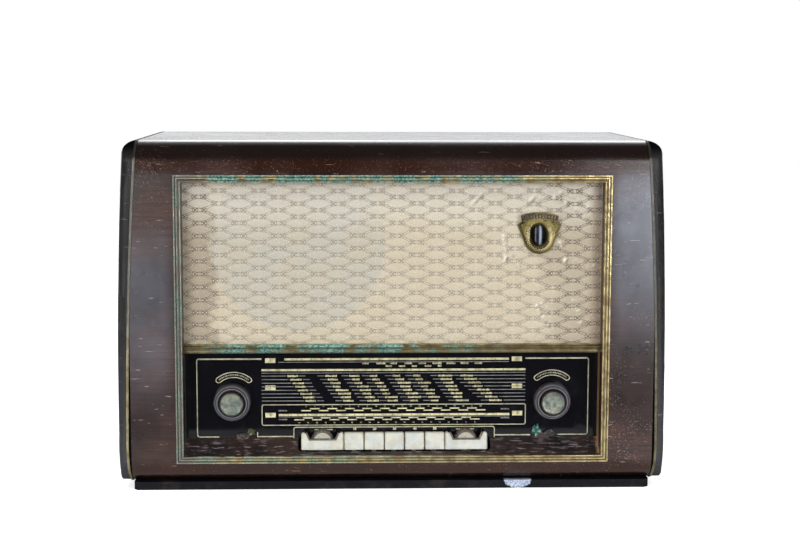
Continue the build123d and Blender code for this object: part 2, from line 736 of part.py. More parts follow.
def valves():
    """Six glass valves with a rounded top and the sealed tip."""
    pieces = []
    for x, y, height in VALVES:
        base = DECK_Z + 2
        top = base + height
        profile = [(0, base), (10.6, base), (10.6, top - 9), (6.5, top - 4), (0, top)]
        pieces.append(turned_z(x, y, profile))
    return Compound(children=pieces)


def screening_cans():
    """Aluminium cans over the filter coils, and the larger can of the FM tuner."""
    pieces = []
    for x, y in ((-35, 145), (30, 150), (85, 145)):
        can = block((x - 13, x + 13), (y - 13, y + 13), (DECK_Z, DECK_Z + 52))
        pieces.append(fillet(can.edges().filter_by(Axis.Z), 3.0))
    tuner = block((132, 188), (92, 150), (DECK_Z, DECK_Z + 48))
    pieces.append(fillet(tuner.edges().filter_by(Axis.Z), 2.0))
    return Compound(children=pieces)


def tuning_capacitor_frame():
    """Open steel frame with two groups of fixed vanes and the bush that carries the drum."""
    low, front, rear = DECK_Z + 2, 52.0, 104.0
    x = (DRUM_X - 24, DRUM_X + 24)
    frame = block(x, (front, rear), (low, low + 1.6))
    for y in (front, 77.2, rear - 1.6):
        frame += block(x, (y, y + 1.6), (low, DRUM_Z + 11))
    frame += rod_y(DRUM_X, DRUM_Z, 4.0, 36.0, front)
    frame += block((DRUM_X + 20, DRUM_X + 23), (front, rear), (DRUM_Z - 3, DRUM_Z + 3))
    for index in range(VANES):
        y = vane_y(index) + VANE_PITCH / 2
        frame += block((DRUM_X + 4.5, DRUM_X + 22), (y, y + VANE), (DRUM_Z - 17, DRUM_Z + 9))
    for spot in ((DRUM_X - 16, 74.0), (DRUM_X + 16, 74.0), (DRUM_X, 98.0)):
        frame += rod_z(spot[0], spot[1], 4.0, DECK_Z, low + 0.5)
    return frame - rod_y(DRUM_X, DRUM_Z, SHAFT_RADIUS + RUNNING_GAP, front - 6, rear + 10)


def vane_y(index):
    """Where a moving vane stands along the shaft: half of them on each side of the middle wall."""
    half = VANES // 2
    start = 56.0 if index < half else 81.0
    return start + VANE_PITCH * (index % half)


def tuning_capacitor_rotor():
    """Shaft with half-round vanes, turned in between the fixed vanes at the low end of the dial."""
    rotor = rod_y(DRUM_X, DRUM_Z, SHAFT_RADIUS, 47.0, 106)
    for index in range(VANES):
        y = vane_y(index)
        disc = rod_y(DRUM_X, DRUM_Z, 16.0, y, y + VANE)
        disc &= block((DRUM_X, DRUM_X + 40), (0, 200), (DRUM_Z - 40, DRUM_Z + 40))
        rotor += disc
    return rotor


def speaker_basket():
    """Pressed basket with four windows, from the rim on the baffle to the magnet."""
    profile = [
        (SPEAKER_RIM, BAFFLE_BACK),
        (SPEAKER_RIM, 23.4),
        (86.0, 24.0),
        (86.0, 32.0),
        (38.0, 64.0),
        (20.0, 64.0),
        (20.0, 62.8),
        (36.8, 62.8),
        (84.8, 30.8),
        (84.8, 24.6),
        (80.5, 24.6),
        (80.5, 23.4),
        (84.4, 23.4),
        (84.4, BAFFLE_BACK),
    ]
    basket = turned_y(SPEAKER_X, SPEAKER_Z, profile)
    for quarter in range(4):
        window = block((-26, 26), (34, 58), (0, 100))
        basket -= Pos(SPEAKER_X, 0, SPEAKER_Z) * Rot(0, 45 + 90 * quarter, 0) * window
    return basket


def speaker_cone():
    profile = [
        (84.0, 22.2),
        (84.0, 23.4),
        (77.5, 23.4),
        (18.2, 60.0),
        (16.6, 60.0),
        (16.6, 57.8),
        (0, 51.5),
        (0, 50.3),
        (16.6, 56.5),
        (17.0, 59.0),
        (77.0, 22.2),
    ]
    return turned_y(SPEAKER_X, SPEAKER_Z, profile)


def speaker_magnet():
    profile = [(0, 64), (34, 64), (34, 68), (40, 69), (40, 86), (34, 87), (34, 92), (0, 92)]
    return turned_y(SPEAKER_X, SPEAKER_Z, profile)


def ferrite_bracket():
    """Steel arm from the baffle board with the pin that the aerial rod turns on."""
    x = (FERRITE_X - 12, FERRITE_X + 12)
    plate = block(x, (BAFFLE_BACK, BAFFLE_BACK + 2), (300, 332))
    arm = block((FERRITE_X - 9, FERRITE_X + 9), (BAFFLE_BACK, FERRITE_Y + 10), (318, 320))
    web = block((FERRITE_X - 1, FERRITE_X + 1), (BAFFLE_BACK, FERRITE_Y - 15), (320, 330))
    return plate + arm + web + rod_z(FERRITE_X, FERRITE_Y, 2.5, 304, 319)


def ferrite_rod():
    """Ferrite aerial rod with its coil, in the saddle that turns on the bracket's pin."""
    z = FERRITE_Z
    rod = rod_x(FERRITE_Y, z, 5.0, FERRITE_X - 85, FERRITE_X + 85)
    rod += rod_x(FERRITE_Y, z, 6.5, FERRITE_X + 40, FERRITE_X + 70)
    saddle = block((FERRITE_X - 12, FERRITE_X + 12), (FERRITE_Y - 8, FERRITE_Y + 8), (z - 8, z + 8))
    hub = rod_z(FERRITE_X, FERRITE_Y, 6.0, z + 8, 317)
    return rod + saddle + hub - rod_z(FERRITE_X, FERRITE_Y, 2.5 + RUNNING_GAP, 303, 330)


def back_panel():
    """Hardboard back with rows of cooling slots, a socket window and the lead's hole."""
    gap = 1.0
    panel = along_y(bowed_outline(WRAP_HALF, PIPING_WIDTH / 2 + gap), PANEL_FRONT, PANEL_BACK)
    panel &= block((-300, 300), (0, 300), (FLOOR_Z + gap, INNER_TOP - gap))
    slot = Rectangle(46, 5)
    for row in range(6):
        for column in range(6):
            x = -185 + 74 * column
            z = 105 + 34 * row
            panel -= along_y(Pos(x, z) * slot, 0, 300)
    window = block((SOCKETS_X - 44, SOCKETS_X + 44), (0, 300), (24, 58))
    panel -= window
    return panel - rod_y(GLAND_X, REAR_HARDWARE_Z, 11.5, 0, 300)


def socket_panel():
    """Insulating strip on the chassis' rear wall with two raised rows of sockets."""
    strip = block((SOCKETS_X - 41, SOCKETS_X + 41), (CHASSIS_REAR, CHASSIS_REAR + 2.5), (26, 54))
    for z in (REAR_HARDWARE_Z - 6.5, REAR_HARDWARE_Z + 6.5):
        strip += block((SOCKETS_X - 37, SOCKETS_X + 37), (CHASSIS_REAR, PANEL_BACK), (z - 5, z + 5))
    for x, z in socket_places():
        strip -= rod_y(x, z, 2.05, CHASSIS_REAR + 1, PANEL_BACK + 1)
    return strip


def socket_places():
    """Two rows: aerial, aerial and earth above, pick-up and extension speaker pairs below."""
    upper = [(SOCKETS_X + 19 * step, REAR_HARDWARE_Z + 6.5) for step in (-1, 0, 1)]
    lower = [(SOCKETS_X + x, REAR_HARDWARE_Z - 6.5) for x in (-31, -12, 12, 31)]
    return upper + lower


def mains_gland():
    """Rubber grommet in the chassis' rear wall, where the mains lead would leave."""
    wall_front = CHASSIS_REAR - SHEET
    profile = [
        (3.6, wall_front - 2.5),
        (9.0, wall_front - 2.5),
        (9.0, wall_front),
        (6.9, wall_front),
        (6.9, CHASSIS_REAR),
        (9.0, CHASSIS_REAR),
        (9.0, CHASSIS_REAR + 2.5),
        (6.0, PANEL_BACK),
        (3.6, PANEL_BACK),
    ]
    return turned_y(GLAND_X, REAR_HARDWARE_Z, profile)


def every_piece():
    """Each node's name with its shape."""
    pieces = {
        "cabinet_wrap": cabinet_wrap(),
        "side_cheek_left": cheek(-1),
        "side_cheek_right": cheek(1),
        "side_piping": side_piping(),
        "bottom_board": bottom_board(),
        "plinth": plinth(),
        "back_battens": back_battens(),
        "brass_bezel": brass_bezel(),
        "divider_bar": divider_bar(),
        "dial_surround": dial_surround(),
        "baffle_board": baffle_board(),
        "speaker_cloth": speaker_cloth(),
        "eye_escutcheon": eye_escutcheon(),
        "eye_tube": eye_tube(),
        "eye_bracket": eye_bracket(),
        "dial_glass": dial_glass(),
        "dial_back_plate": dial_back_plate(),
        "dial_lamps": dial_lamps(),
        "glass_clips": glass_clips(),
        "pulley_left": pulley(-1),
        "pulley_right": pulley(1),
        "cord_drum": cord_drum(),
        "dial_cord": dial_cord(),
        "am_pointer": am_pointer(),
        "fm_pointer": fm_pointer(),
        "aerial_ring": double_knob_ring(-1),
        "fm_tuning_ring": double_knob_ring(1),
        "volume_knob": inner_knob(-1, CHASSIS_FRONT + SHEET + 8),
        "volume_knob_cap": knob_cap(-1),
        "tuning_knob": inner_knob(1),
        "tuning_knob_cap": knob_cap(1),
        "tuning_spindle": tuning_spindle(),
        "potentiometers": potentiometers(),
        "key_end_blocks": key_end_blocks(),
        "thumb_wheel_left": thumb_wheel(BLOCK_X[0]),
        "thumb_wheel_right": thumb_wheel(BLOCK_X[1]),
        "key_switch_unit": key_switch_unit(),
        "chassis": chassis(),
        "mains_transformer": mains_transformer(),
        "output_transformer": output_transformer(),
        "smoothing_capacitor": smoothing_capacitor(),
        "valve_sockets": valve_sockets(),
        "valves": valves(),
        "screening_cans": screening_cans(),
        "tuning_capacitor_frame": tuning_capacitor_frame(),
        "tuning_capacitor_rotor": tuning_capacitor_rotor(),
        "speaker_basket": speaker_basket(),
        "speaker_cone": speaker_cone(),
        "speaker_magnet": speaker_magnet(),
        "ferrite_bracket": ferrite_bracket(),
        "ferrite_rod": ferrite_rod(),
        "back_panel": back_panel(),
        "socket_panel": socket_panel(),
        "mains_gland": mains_gland(),
    }
    for index in range(KEY_COUNT):
        pieces[f"key_{index + 1}"] = key(index)
    return pieces


os.makedirs("parts", exist_ok=True)
for name, shape in every_piece().items():
    export_step(Pos(0, SHIFT_Y, 0) * shape, f"parts/{name}.step")
    print(name)
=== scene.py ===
# %% [markdown]
# # A table radio with valves, dressed in Blender
# The engineering model gives every solid, joint and size. This script adds what those solids
# can't say: the veneer, the woven cloth, the printed dial and the marks of seventy years' use.
# Loading it first means that every later piece can be placed by the model's own numbers.

# %% Load the solids
import math
import random

import bmesh
import bpy
from mathutils import Matrix, Vector, noise


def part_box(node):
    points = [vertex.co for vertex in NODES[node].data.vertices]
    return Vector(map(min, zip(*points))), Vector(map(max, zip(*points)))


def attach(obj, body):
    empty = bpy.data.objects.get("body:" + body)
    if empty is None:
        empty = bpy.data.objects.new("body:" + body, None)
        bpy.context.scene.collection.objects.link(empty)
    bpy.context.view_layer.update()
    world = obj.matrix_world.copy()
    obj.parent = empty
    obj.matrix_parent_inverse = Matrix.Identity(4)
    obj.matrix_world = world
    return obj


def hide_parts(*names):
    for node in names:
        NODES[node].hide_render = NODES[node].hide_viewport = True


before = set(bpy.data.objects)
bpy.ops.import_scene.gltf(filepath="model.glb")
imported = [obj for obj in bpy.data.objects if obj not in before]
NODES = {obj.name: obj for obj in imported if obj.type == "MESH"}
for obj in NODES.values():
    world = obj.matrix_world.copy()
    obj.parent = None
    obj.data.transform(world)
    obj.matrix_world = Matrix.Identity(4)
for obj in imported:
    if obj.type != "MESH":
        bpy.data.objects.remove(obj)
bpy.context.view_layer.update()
MM = 0.001
scene = bpy.context.scene
FRONT_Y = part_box("cabinet_wrap")[0].y
print("solids:", len(NODES), "front face at y =", round(FRONT_Y, 4))

# %% [markdown]
# ## A few words for materials
# Every finish below is built from the same small parts: a shader, a noise that reads the object's
# own coordinates, a range that sharpens it, and a mix. Naming them once keeps each recipe readable.
# A node's output knows the tree it is in, so sums of outputs need no material to be named.

# %% Nodes and sums
def add(tree, kind, sockets, output=0, **settings):
    """Adds one node and fills its sockets with numbers or with other nodes' outputs."""
    made = tree.nodes.new("ShaderNode" + kind)
    for key, value in settings.items():
        setattr(made, key, value)
    for socket, value in sockets.items():
        if isinstance(value, bpy.types.NodeSocket):
            tree.links.new(value, made.inputs[socket])
        else:
            made.inputs[socket].default_value = value
    return made.outputs[output]


def tree_of(*values):
    """The node tree that holds the node outputs among these values."""
    return next(value.id_data for value in values if isinstance(value, bpy.types.NodeSocket))


def calc(operation, first, second=0.0):
    return add(tree_of(first, second), "Math", {0: first, 1: second}, operation=operation)


def chained(operation):
    """A sum of any number of values, worked out from left to right."""
    def work_out(first, *others):
        for other in others:
            first = calc(operation, first, other)
        return first
    return work_out


plus, minus, times, over = (chained(name) for name in ("ADD", "SUBTRACT", "MULTIPLY", "DIVIDE"))
larger, smaller = chained("MAXIMUM"), chained("MINIMUM")


def apart(value, place=0.0):
    """How far a value is from a place, on either side."""
    return calc("ABSOLUTE", minus(value, place))


def length(across, up):
    """Distance from the origin of a point with these two coordinates."""
    return calc("SQRT", plus(times(across, across), times(up, up)))


def between(value, low, high):
    """0 below low, 1 above high, and smooth in between; low may be the larger."""
    sockets = {"Value": value, "From Min": low, "From Max": high}
    return add(tree_of(value), "MapRange", sockets, interpolation_type="SMOOTHSTEP")


def level(value, low, high):
    """Maps a 0 to 1 output onto low to high, such as for roughness."""
    return add(tree_of(value), "MapRange", {"Value": value, "To Min": low, "To Max": high})


def blend(factor, first, second):
    """A colour that goes from the first to the second as the factor goes from 0 to 1."""
    tree = tree_of(factor, first, second)
    made = tree.nodes.new("ShaderNodeMix")
    made.data_type = "RGBA"
    for socket, value in ((0, factor), (6, first), (7, second)):
        if isinstance(value, bpy.types.NodeSocket):
            tree.links.new(value, made.inputs[socket])
        else:
            made.inputs[socket].default_value = (*value, 1) if socket else value
    return made.outputs[2]


print("sums ready")

# %% [markdown]
# A finish is a material whose constant values sit on the shader's own sockets. Whatever varies over
# the surface is made from the object's coordinates and put on a socket afterwards.

# %% Finishes and where they read
def finish(name, colour, roughness, metallic=0.0, **sockets):
    """A material with these constant values; Coat_Weight stands for the socket Coat Weight."""
    material = bpy.data.materials.new(name)
    material.use_nodes = True
    shader = material.node_tree.nodes["Principled BSDF"]
    shader.inputs["Base Color"].default_value = (*colour, 1)
    shader.inputs["Roughness"].default_value = roughness
    shader.inputs["Metallic"].default_value = metallic
    for socket, value in sockets.items():
        shader.inputs[socket.replace("_", " ")].default_value = value
    return material


def where(material, stretch=(1, 1, 1), turn=(0, 0, 0), move=(0, 0, 0)):
    """Object coordinates, scaled so that a pattern is drawn out along an axis."""
    tree = material.node_tree
    coordinate = add(tree, "TexCoord", {}, output="Object")
    sockets = {"Vector": coordinate, "Scale": stretch, "Rotation": turn, "Location": move}
    return add(tree, "Mapping", sockets)


def along(material, axis):
    """The place on the object along one axis, in metres."""
    return add(material.node_tree, "SeparateXYZ", {0: where(material)}, output=axis)


def mottle(material, scale, low=0.35, high=0.65, detail=3.0, **place):
    """Cloudy noise, sharpened between two levels."""
    sockets = {"Vector": where(material, **place), "Scale": scale, "Detail": detail, "Roughness": 0.6}
    return between(add(material.node_tree, "TexNoise", sockets), low, high)


def put(material, socket, value):
    """Connects a node's output to a socket of the shader."""
    shader = material.node_tree.nodes["Principled BSDF"]
    material.node_tree.links.new(value, shader.inputs[socket])


def relief(material, height, depth):
    """Bump: the height output, in parts of depth metres, tips the surface normal."""
    bump = add(tree_of(height), "Bump", {"Height": height, "Distance": depth, "Strength": 1.0})
    put(material, "Normal", bump)


def wear(*nodes_and_finish):
    """Gives CAD nodes a finish: wear("plinth", "back_panel", material)."""
    *names, material = nodes_and_finish
    for name in names:
        data = NODES[name].data
        data.materials.clear()
        data.materials.append(material)


print("finishes ready")

# %% [markdown]
# Every added piece ends the same way: its bmesh becomes a mesh, gets its finish, and rides on the
# body it is fixed to, so that it moves with that body at every pose.

# %% From a bmesh to a piece
def as_object(name, built, body, material, smooth=True):
    """Turns a bmesh into a named piece that rides on a body and wears a material."""
    data = bpy.data.meshes.new(name)
    built.to_mesh(data)
    built.free()
    data.materials.append(material)
    for polygon in data.polygons:
        polygon.use_smooth = smooth
    piece = bpy.data.objects.new(name, data)
    scene.collection.objects.link(piece)
    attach(piece, body)
    return piece


def join(built, other):
    """Adds a finished bmesh to a bigger one."""
    scratch = bpy.data.meshes.new("scratch")
    other.to_mesh(scratch)
    other.free()
    built.from_mesh(scratch)
    bpy.data.meshes.remove(scratch)


print("pieces ready")

# %% [markdown]
# ## Camera
# A photograph fixes where its camera stood: the box's edges run to their vanishing points in one
# way only. The place, the three angles and the lens below were fitted to the cabinet's corners, so
# the render can be laid over the photograph. The picture is 800 by 545 and isn't shifted.

# %% Camera at the photograph's viewing angle
CAMERA_PLACE = Vector((-0.04877, -1.69718, 0.42340))
CAMERA_YAW = 0.03525
CAMERA_PITCH = 0.12515
CAMERA_ROLL = 0.0028
LENS = 70.59


def camera_axes(yaw, pitch, roll):
    """Right, up and backward unit vectors of a camera that looks along +Y when all are zero."""
    forward = Vector((math.sin(yaw) * math.cos(pitch), math.cos(yaw) * math.cos(pitch), -math.sin(pitch)))
    right = Vector((math.cos(yaw), -math.sin(yaw), 0))
    up = right.cross(forward)
    turned_right = math.cos(roll) * right + math.sin(roll) * up
    turned_up = math.cos(roll) * up - math.sin(roll) * right
    return turned_right, turned_up, -forward


camera = bpy.data.objects.new("camera", bpy.data.cameras.new("camera"))
scene.collection.objects.link(camera)
camera.data.lens = LENS
camera.data.sensor_width = 36
columns = camera_axes(CAMERA_YAW, CAMERA_PITCH, CAMERA_ROLL)
camera.matrix_world = Matrix.Translation(CAMERA_PLACE) @ Matrix(columns).transposed().to_4x4()
scene.camera = camera
print("camera at", [round(c, 3) for c in CAMERA_PLACE])

# %% [markdown]
# ## Light
# The set stood on a white table against a white wall, with the room dark behind the camera. That
# dark side matters: the black dial and the lacquer mirror it, and would look milky in an all-white
# room. So the world is plain white for the camera, and for reflections it is white at the back and
# above and dim in front. Four large soft lamps give the object its light: two low ones beside the
# camera, a high one, which isn't mirrored, and one behind.

# %% World and lamps
scene.view_settings.view_transform = "Standard"
world = bpy.data.worlds.new("studio")
scene.world = world
world.use_nodes = True
tree = world.node_tree
tree.nodes.clear()
towards_back = add(tree, "SeparateXYZ", {0: add(tree, "TexCoord", {}, output="Generated")}, output="Y")
depth = level(between(towards_back, 0.1, 0.65), 0.08, 1.0)
dimmed = plus(times(depth, 0.42), 0.13)
seen = add(tree, "Background", {"Color": (1, 1, 1, 1)})
mirrored = add(tree, "Background", {"Color": (0.95, 0.98, 1.0, 1), "Strength": depth})
diffuse = add(tree, "Background", {"Color": (0.97, 0.98, 1.0, 1), "Strength": dimmed})
rays = tree.nodes.new("ShaderNodeLightPath").outputs
glossy_or_clear = larger(rays["Is Glossy Ray"], rays["Is Transmission Ray"])
room = add(tree, "MixShader", {0: glossy_or_clear, 1: diffuse, 2: mirrored})
final = add(tree, "MixShader", {0: rays["Is Camera Ray"], 1: room, 2: seen})
tree.links.new(final, tree.nodes.new("ShaderNodeOutputWorld").inputs["Surface"])


def soft_lamp(name, place, aim, size, watts, colour=(1, 1, 1)):
    """A rectangular lamp at a place, turned towards its aim."""
    data = bpy.data.lights.new(name, "AREA")
    data.shape = "RECTANGLE"
    data.size, data.size_y = size
    data.energy = watts
    data.color = colour
    lamp = bpy.data.objects.new(name, data)
    scene.collection.objects.link(lamp)
    lamp.location = place
    lamp.rotation_euler = (Vector(aim) - Vector(place)).to_track_quat("-Z", "Y").to_euler()
    return lamp


soft_lamp("left_lamp", (-0.95, -1.5, 0.28), (0, 0, 0.2), (0.8, 0.7), 12, (1.0, 0.99, 0.98))
soft_lamp("right_lamp", (0.92, -1.5, 0.36), (0, 0, 0.2), (0.8, 0.7), 15, (0.96, 0.97, 1.0))
soft_lamp("high_lamp", (-0.5, -1.0, 1.8), (0, 0, 0.2), (1.4, 1.0), 17).visible_glossy = False
soft_lamp("back_lamp", (0.3, 1.7, 1.5), (0, 0, 0.2), (1.8, 1.2), 24)

# %% [markdown]
# ## Floor
# A plane is all that a table top needs, and it catches the contact shadow. It stops half a metre
# in front of the set, because the real table did, and so isn't mirrored by the black dial. For the
# camera it also glows a little, and so meets the white wall without a line.

# %% Pale table top
floor_mesh = bmesh.new()
bmesh.ops.create_grid(floor_mesh, x_segments=1, y_segments=1, size=1)
bmesh.ops.transform(
    floor_mesh,
    matrix=Matrix.Translation((0, 1.82, 0)) @ Matrix.Diagonal((6, 2.18, 1, 1)),
    verts=floor_mesh.verts,
)
floor_data = bpy.data.meshes.new("table_top")
floor_mesh.to_mesh(floor_data)
floor_mesh.free()
table_top = bpy.data.objects.new("table_top", floor_data)
scene.collection.objects.link(table_top)
pale = finish("pale_table", (0.92, 0.93, 0.94), 0.6, Emission_Color=(1, 1, 1, 1))
pale_rays = pale.node_tree.nodes.new("ShaderNodeLightPath").outputs
put(pale, "Emission Strength", times(pale_rays["Is Camera Ray"], 0.72))
floor_data.materials.append(pale)
print("table top:", [round(d, 2) for d in table_top.dimensions])

# %% [markdown]
# ## Veneer
# The cabinet is bent plywood under a thin red-brown veneer with a hard lacquer. Its grain runs
# across the front and over the top. Age shows as cloudy dark patches, fine scratches and pale
# flecks where the lacquer has chipped. All of it reads the object's own coordinates, so the grain
# carries on round the bends. The cheeks are the same wood, stained almost black.

# %% A lacquered wood
def veneer(name, light, dark, grain, flecks, places, coat=0.3, smooth=0.26, dull=0.42):
    """Lacquered wood. Grain is the noise's stretch; places gives the deep share (painted shade in bands), the
    hazy share (painted sheen) and the black share (on the front, painted shadow by the piping).
    """
    material = finish(name, light, smooth, Specular_IOR_Level=0.5, Coat_Weight=coat, Coat_Roughness=0.24)
    deep, haze, black = places(material)
    clouds = mottle(material, 9, 0.36, 0.64, detail=5)
    figure = mottle(material, 1.0, 0.40, 0.62, detail=5, stretch=grain)
    pores = mottle(material, 4.0, 0.56, 0.64, detail=2, stretch=grain)
    wood = blend(clouds, dark, light)
    wood = blend(times(figure, 0.7), wood, dark)
    wood = blend(times(pores, 0.7), wood, tuple(0.3 * c for c in dark))
    # Painted shade: the deep share darkens the top and bottom bands of the front, where the sheen fades.
    wood = blend(times(deep, 0.75), wood, tuple(0.5 * c for c in light))
    cloudy = plus(0.62, times(mottle(material, 34, 0.3, 0.7, detail=5), 0.4))
    # Painted sheen: the hazy share lays a cloudy bluish grey over the wood, strongest on the front's right
    # panel.
    wood = blend(times(haze, cloudy), wood, (0.34, 0.38, 0.47))
    spread = larger(mottle(material, 12, 0.45, 0.68, detail=3), times(deep, 0.4))
    chips = times(mottle(material, 900, 0.63, 0.72, detail=2), spread)
    lines = mottle(material, 60, 0.70, 0.72, detail=2, stretch=(1, 1, 9), turn=(0, 0.9, 0.3))
    marks = times(larger(chips, times(lines, 0.6)), flecks)
    fleck = blend(deep, (0.50, 0.42, 0.38), (0.45, 0.24, 0.13))
    wood = blend(marks, wood, fleck)
    y, z = along(material, "Y"), along(material, "Z")
    # Painted shade: the bends over the top and under the foot are painted near black.
    upper_bend = times(between(z, 0.334, 0.344), between(y, -0.085, -0.105))
    bends = larger(upper_bend, between(z, 0.019, 0.013))
    wood = blend(times(bends, 0.85), wood, (0.005, 0.0035, 0.003))
    # The black share is near black without lacquer shine; on the front it is painted shadow beside the
    # piping.
    put(material, "Base Color", blend(black, wood, (0.003, 0.003, 0.004)))
    rough = level(plus(clouds, marks), smooth, dull)
    put(material, "Roughness", minus(rough, times(deep, 0.14)))
    clear = minus(1.0, black)
    open_coat = minus(coat, times(deep, 0.7 * coat))
    put(material, "Coat Weight", times(clear, open_coat))
    put(material, "Specular IOR Level", times(clear, 0.5))
    relief(material, minus(times(pores, -0.4), marks, times(black, 2.0)), 0.00004)
    return material


print("veneer ready")

# %% [markdown]
# The same wood is painted differently from place to place: deep red-brown in the bands above and below,
# as painted shade, a bluish-grey painted sheen on the side panels, and black beside the piping, as
# painted shadow. Each place is a soft step along an axis, so it needs no painted mask and stays put
# when the finish is changed.

# %% Veneer on the wrap and the cheeks
WRAP_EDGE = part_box("cabinet_wrap")[1].x


def front_places(material):
    """Painted shade deepens the top and bottom bands, a painted sheen lies on the side panels, and a black
    line of painted shadow runs by the piping.
    """
    x, z = along(material, "X"), along(material, "Z")
    # Painted shade in the top and bottom bands.
    deep = larger(between(z, 0.321, 0.332), between(z, 0.036, 0.022))
    right = times(between(x, 0.215, 0.235), between(z, 0.11, 0.29), between(z, 0.334, 0.312))
    left = times(between(x, -0.215, -0.235), between(z, 0.06, 0.16), between(z, 0.29, 0.23))
    # Painted sheen on the side panels, stronger on the right.
    haze = larger(times(right, 0.42), times(left, 0.17))
    # Painted shadow: a black line beside the piping, wider along the top.
    edge = plus(apart(x), times(between(z, 0.338, 0.350), 0.0030))
    return deep, haze, between(edge, WRAP_EDGE - 0.0030, WRAP_EDGE - 0.0022)


def cheek_places(material):
    """The sides are one even black stain, with a faint painted sheen low down, darker towards the top and
    black over the top.
    """
    z = along(material, "Z")
    haze = times(between(z, 0.20, 0.05), 0.06)
    return between(z, 0.32, 0.35), haze, between(z, 0.346, 0.352)


front_veneer = veneer(
    "red_brown_veneer", (0.058, 0.0165, 0.0085), (0.013, 0.004, 0.0025), (9, 260, 260), 0.9, front_places
)
cheek_veneer = veneer(
    "black_stained_cheek", (0.016, 0.012, 0.013), (0.006, 0.0045, 0.005), (260, 9, 30), 0.45, cheek_places,
    coat=0.0, smooth=0.52, dull=0.66
)
wear("cabinet_wrap", front_veneer)
wear("side_cheek_left", "side_cheek_right", cheek_veneer)
print("veneer nodes:", len(front_veneer.node_tree.nodes))

# %% [markdown]
# ## Brass with verdigris
# Polished brass goes brown, and then green where damp and fingers reached it. Here a cloudy noise
# decides between bright metal, brown tarnish and green salt, and a second output says how much of
# the green a place may have, so that the left of the frame is grey-green and the right still gold.

# %% Tarnished brass
def aged_brass(name, clean, green_share, silver_share=None, groove=None):
    """Brass from bright to brown to green. The shares are functions or numbers from 0 to 1."""
    material = finish(name, clean, 0.36, 1.0, Specular_IOR_Level=0.5)
    if callable(green_share):
        green_share = green_share(material)
    brown = mottle(material, 93.5, 0.4, 0.62, detail=4)
    salt = times(mottle(material, 55, 0.42, 0.58, detail=5), green_share)
    grain = mottle(material, 495, 0.35, 0.7, detail=2)
    metal = blend(times(brown, 0.65), clean, (0.16, 0.10, 0.045))
    if silver_share is not None:
        metal = blend(silver_share(material), metal, (0.25, 0.24, 0.22))
    crust = blend(grain, (0.05, 0.15, 0.11), (0.36, 0.58, 0.49))
    colour = blend(salt, metal, crust)
    # The groove share is painted near black without shine: painted shade in the hollows of the frame and the
    # bar, and the piping's dark lengths.
    if groove is not None:
        colour = blend(groove(material), colour, (0.012, 0.012, 0.009))
    put(material, "Base Color", colour)
    bare = minus(1.0, times(salt, 0.9))
    if groove is not None:
        open_share = minus(1.0, groove(material))
        bare = times(bare, open_share)
        put(material, "Specular IOR Level", times(open_share, 0.5))
    put(material, "Metallic", bare)
    put(material, "Roughness", plus(times(brown, 0.15), times(salt, 0.4), 0.3))
    relief(material, times(plus(grain, salt), 0.5), 0.00025)
    return material


print("brass ready")

# %% [markdown]
# The frame was pressed from one brass strip, and each side of it has aged in its own way. A few
# short functions say where: green along the top and the foot, grey on the left, and painted shade in
# the dark hollows that run between the ridges. The piping beside the cheeks has its own black and
# grey lengths.

# %% Brass of the frame, the bar and the piping
def bezel_green(material):
    """More green along the top, less along the bottom and the left, none on the right."""
    x, z = along(material, "X"), along(material, "Z")
    top = times(between(z, 0.312, 0.318), between(x, 0.175, 0.10))
    low = times(between(z, 0.040, 0.036), between(x, 0.14, -0.10))
    west = times(between(x, -0.16, -0.21), 0.45)
    return larger(top, times(low, 0.6), west)


def bezel_silver(material):
    """The left side of the frame has lost its gold and gone grey."""
    return times(between(along(material, "X"), -0.16, -0.215), 0.9)


def line_at(value, place, half_width):
    """One where the value is within a soft line about a place."""
    return between(apart(value, place), half_width, 0.4 * half_width)


BEZEL_LOW, BEZEL_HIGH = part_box("brass_bezel")
BEZEL_MIDDLE = (BEZEL_LOW + BEZEL_HIGH) / 2


def bezel_hollow_shade(material):
    """Painted shade: two dark hollows that run round the frame between its three ridges."""
    x, z = along(material, "X"), along(material, "Z")
    from_side = minus(BEZEL_HIGH.x, apart(x))
    from_middle = apart(z, BEZEL_MIDDLE.z)
    inward = smaller(from_side, minus(BEZEL_HIGH.z - BEZEL_MIDDLE.z, from_middle))
    return times(larger(line_at(inward, 0.0019, 0.0010), line_at(inward, 0.0054, 0.0010)), 0.78)


def bar_hollow_shade(material):
    """Painted shade in the hollow along the divider bar, and a painted shadow low on the bar."""
    z = along(material, "Z")
    return times(larger(line_at(z, 0.1474, 0.0016), between(z, 0.1438, 0.1426)), 0.75)


def bar_green(material):
    """Verdigris on the left half of the bar, thickest over the loudspeaker."""
    x = along(material, "X")
    return times(between(x, 0.14, 0.02), between(x, -0.20, -0.17))


def piping_dark(material):
    """The piping is black along the top of the cabinet and dull down its right side."""
    top = between(along(material, "Z"), 0.336, 0.343)
    right = times(between(along(material, "X"), 0.0, 0.1), 0.62)
    left = times(between(along(material, "Z"), 0.14, 0.20), 0.45)
    return times(larger(top, left, right), 0.94)


def piping_silver(material):
    """Pale grey above, brass where hands have rubbed it low on the left."""
    return times(between(along(material, "Z"), 0.10, 0.22), 0.85)


frame_brass = aged_brass("frame_brass", (0.66, 0.54, 0.28), bezel_green, bezel_silver, bezel_hollow_shade)
bar_brass = aged_brass("bar_brass", (0.38, 0.32, 0.16), bar_green, None, bar_hollow_shade)
strip_brass = aged_brass("strip_brass", (0.36, 0.31, 0.17), 0.12, piping_silver, piping_dark)
wear("brass_bezel", frame_brass)
wear("divider_bar", bar_brass)
wear("side_piping", strip_brass)
print("brass finishes:", frame_brass.name, bar_brass.name, strip_brass.name)
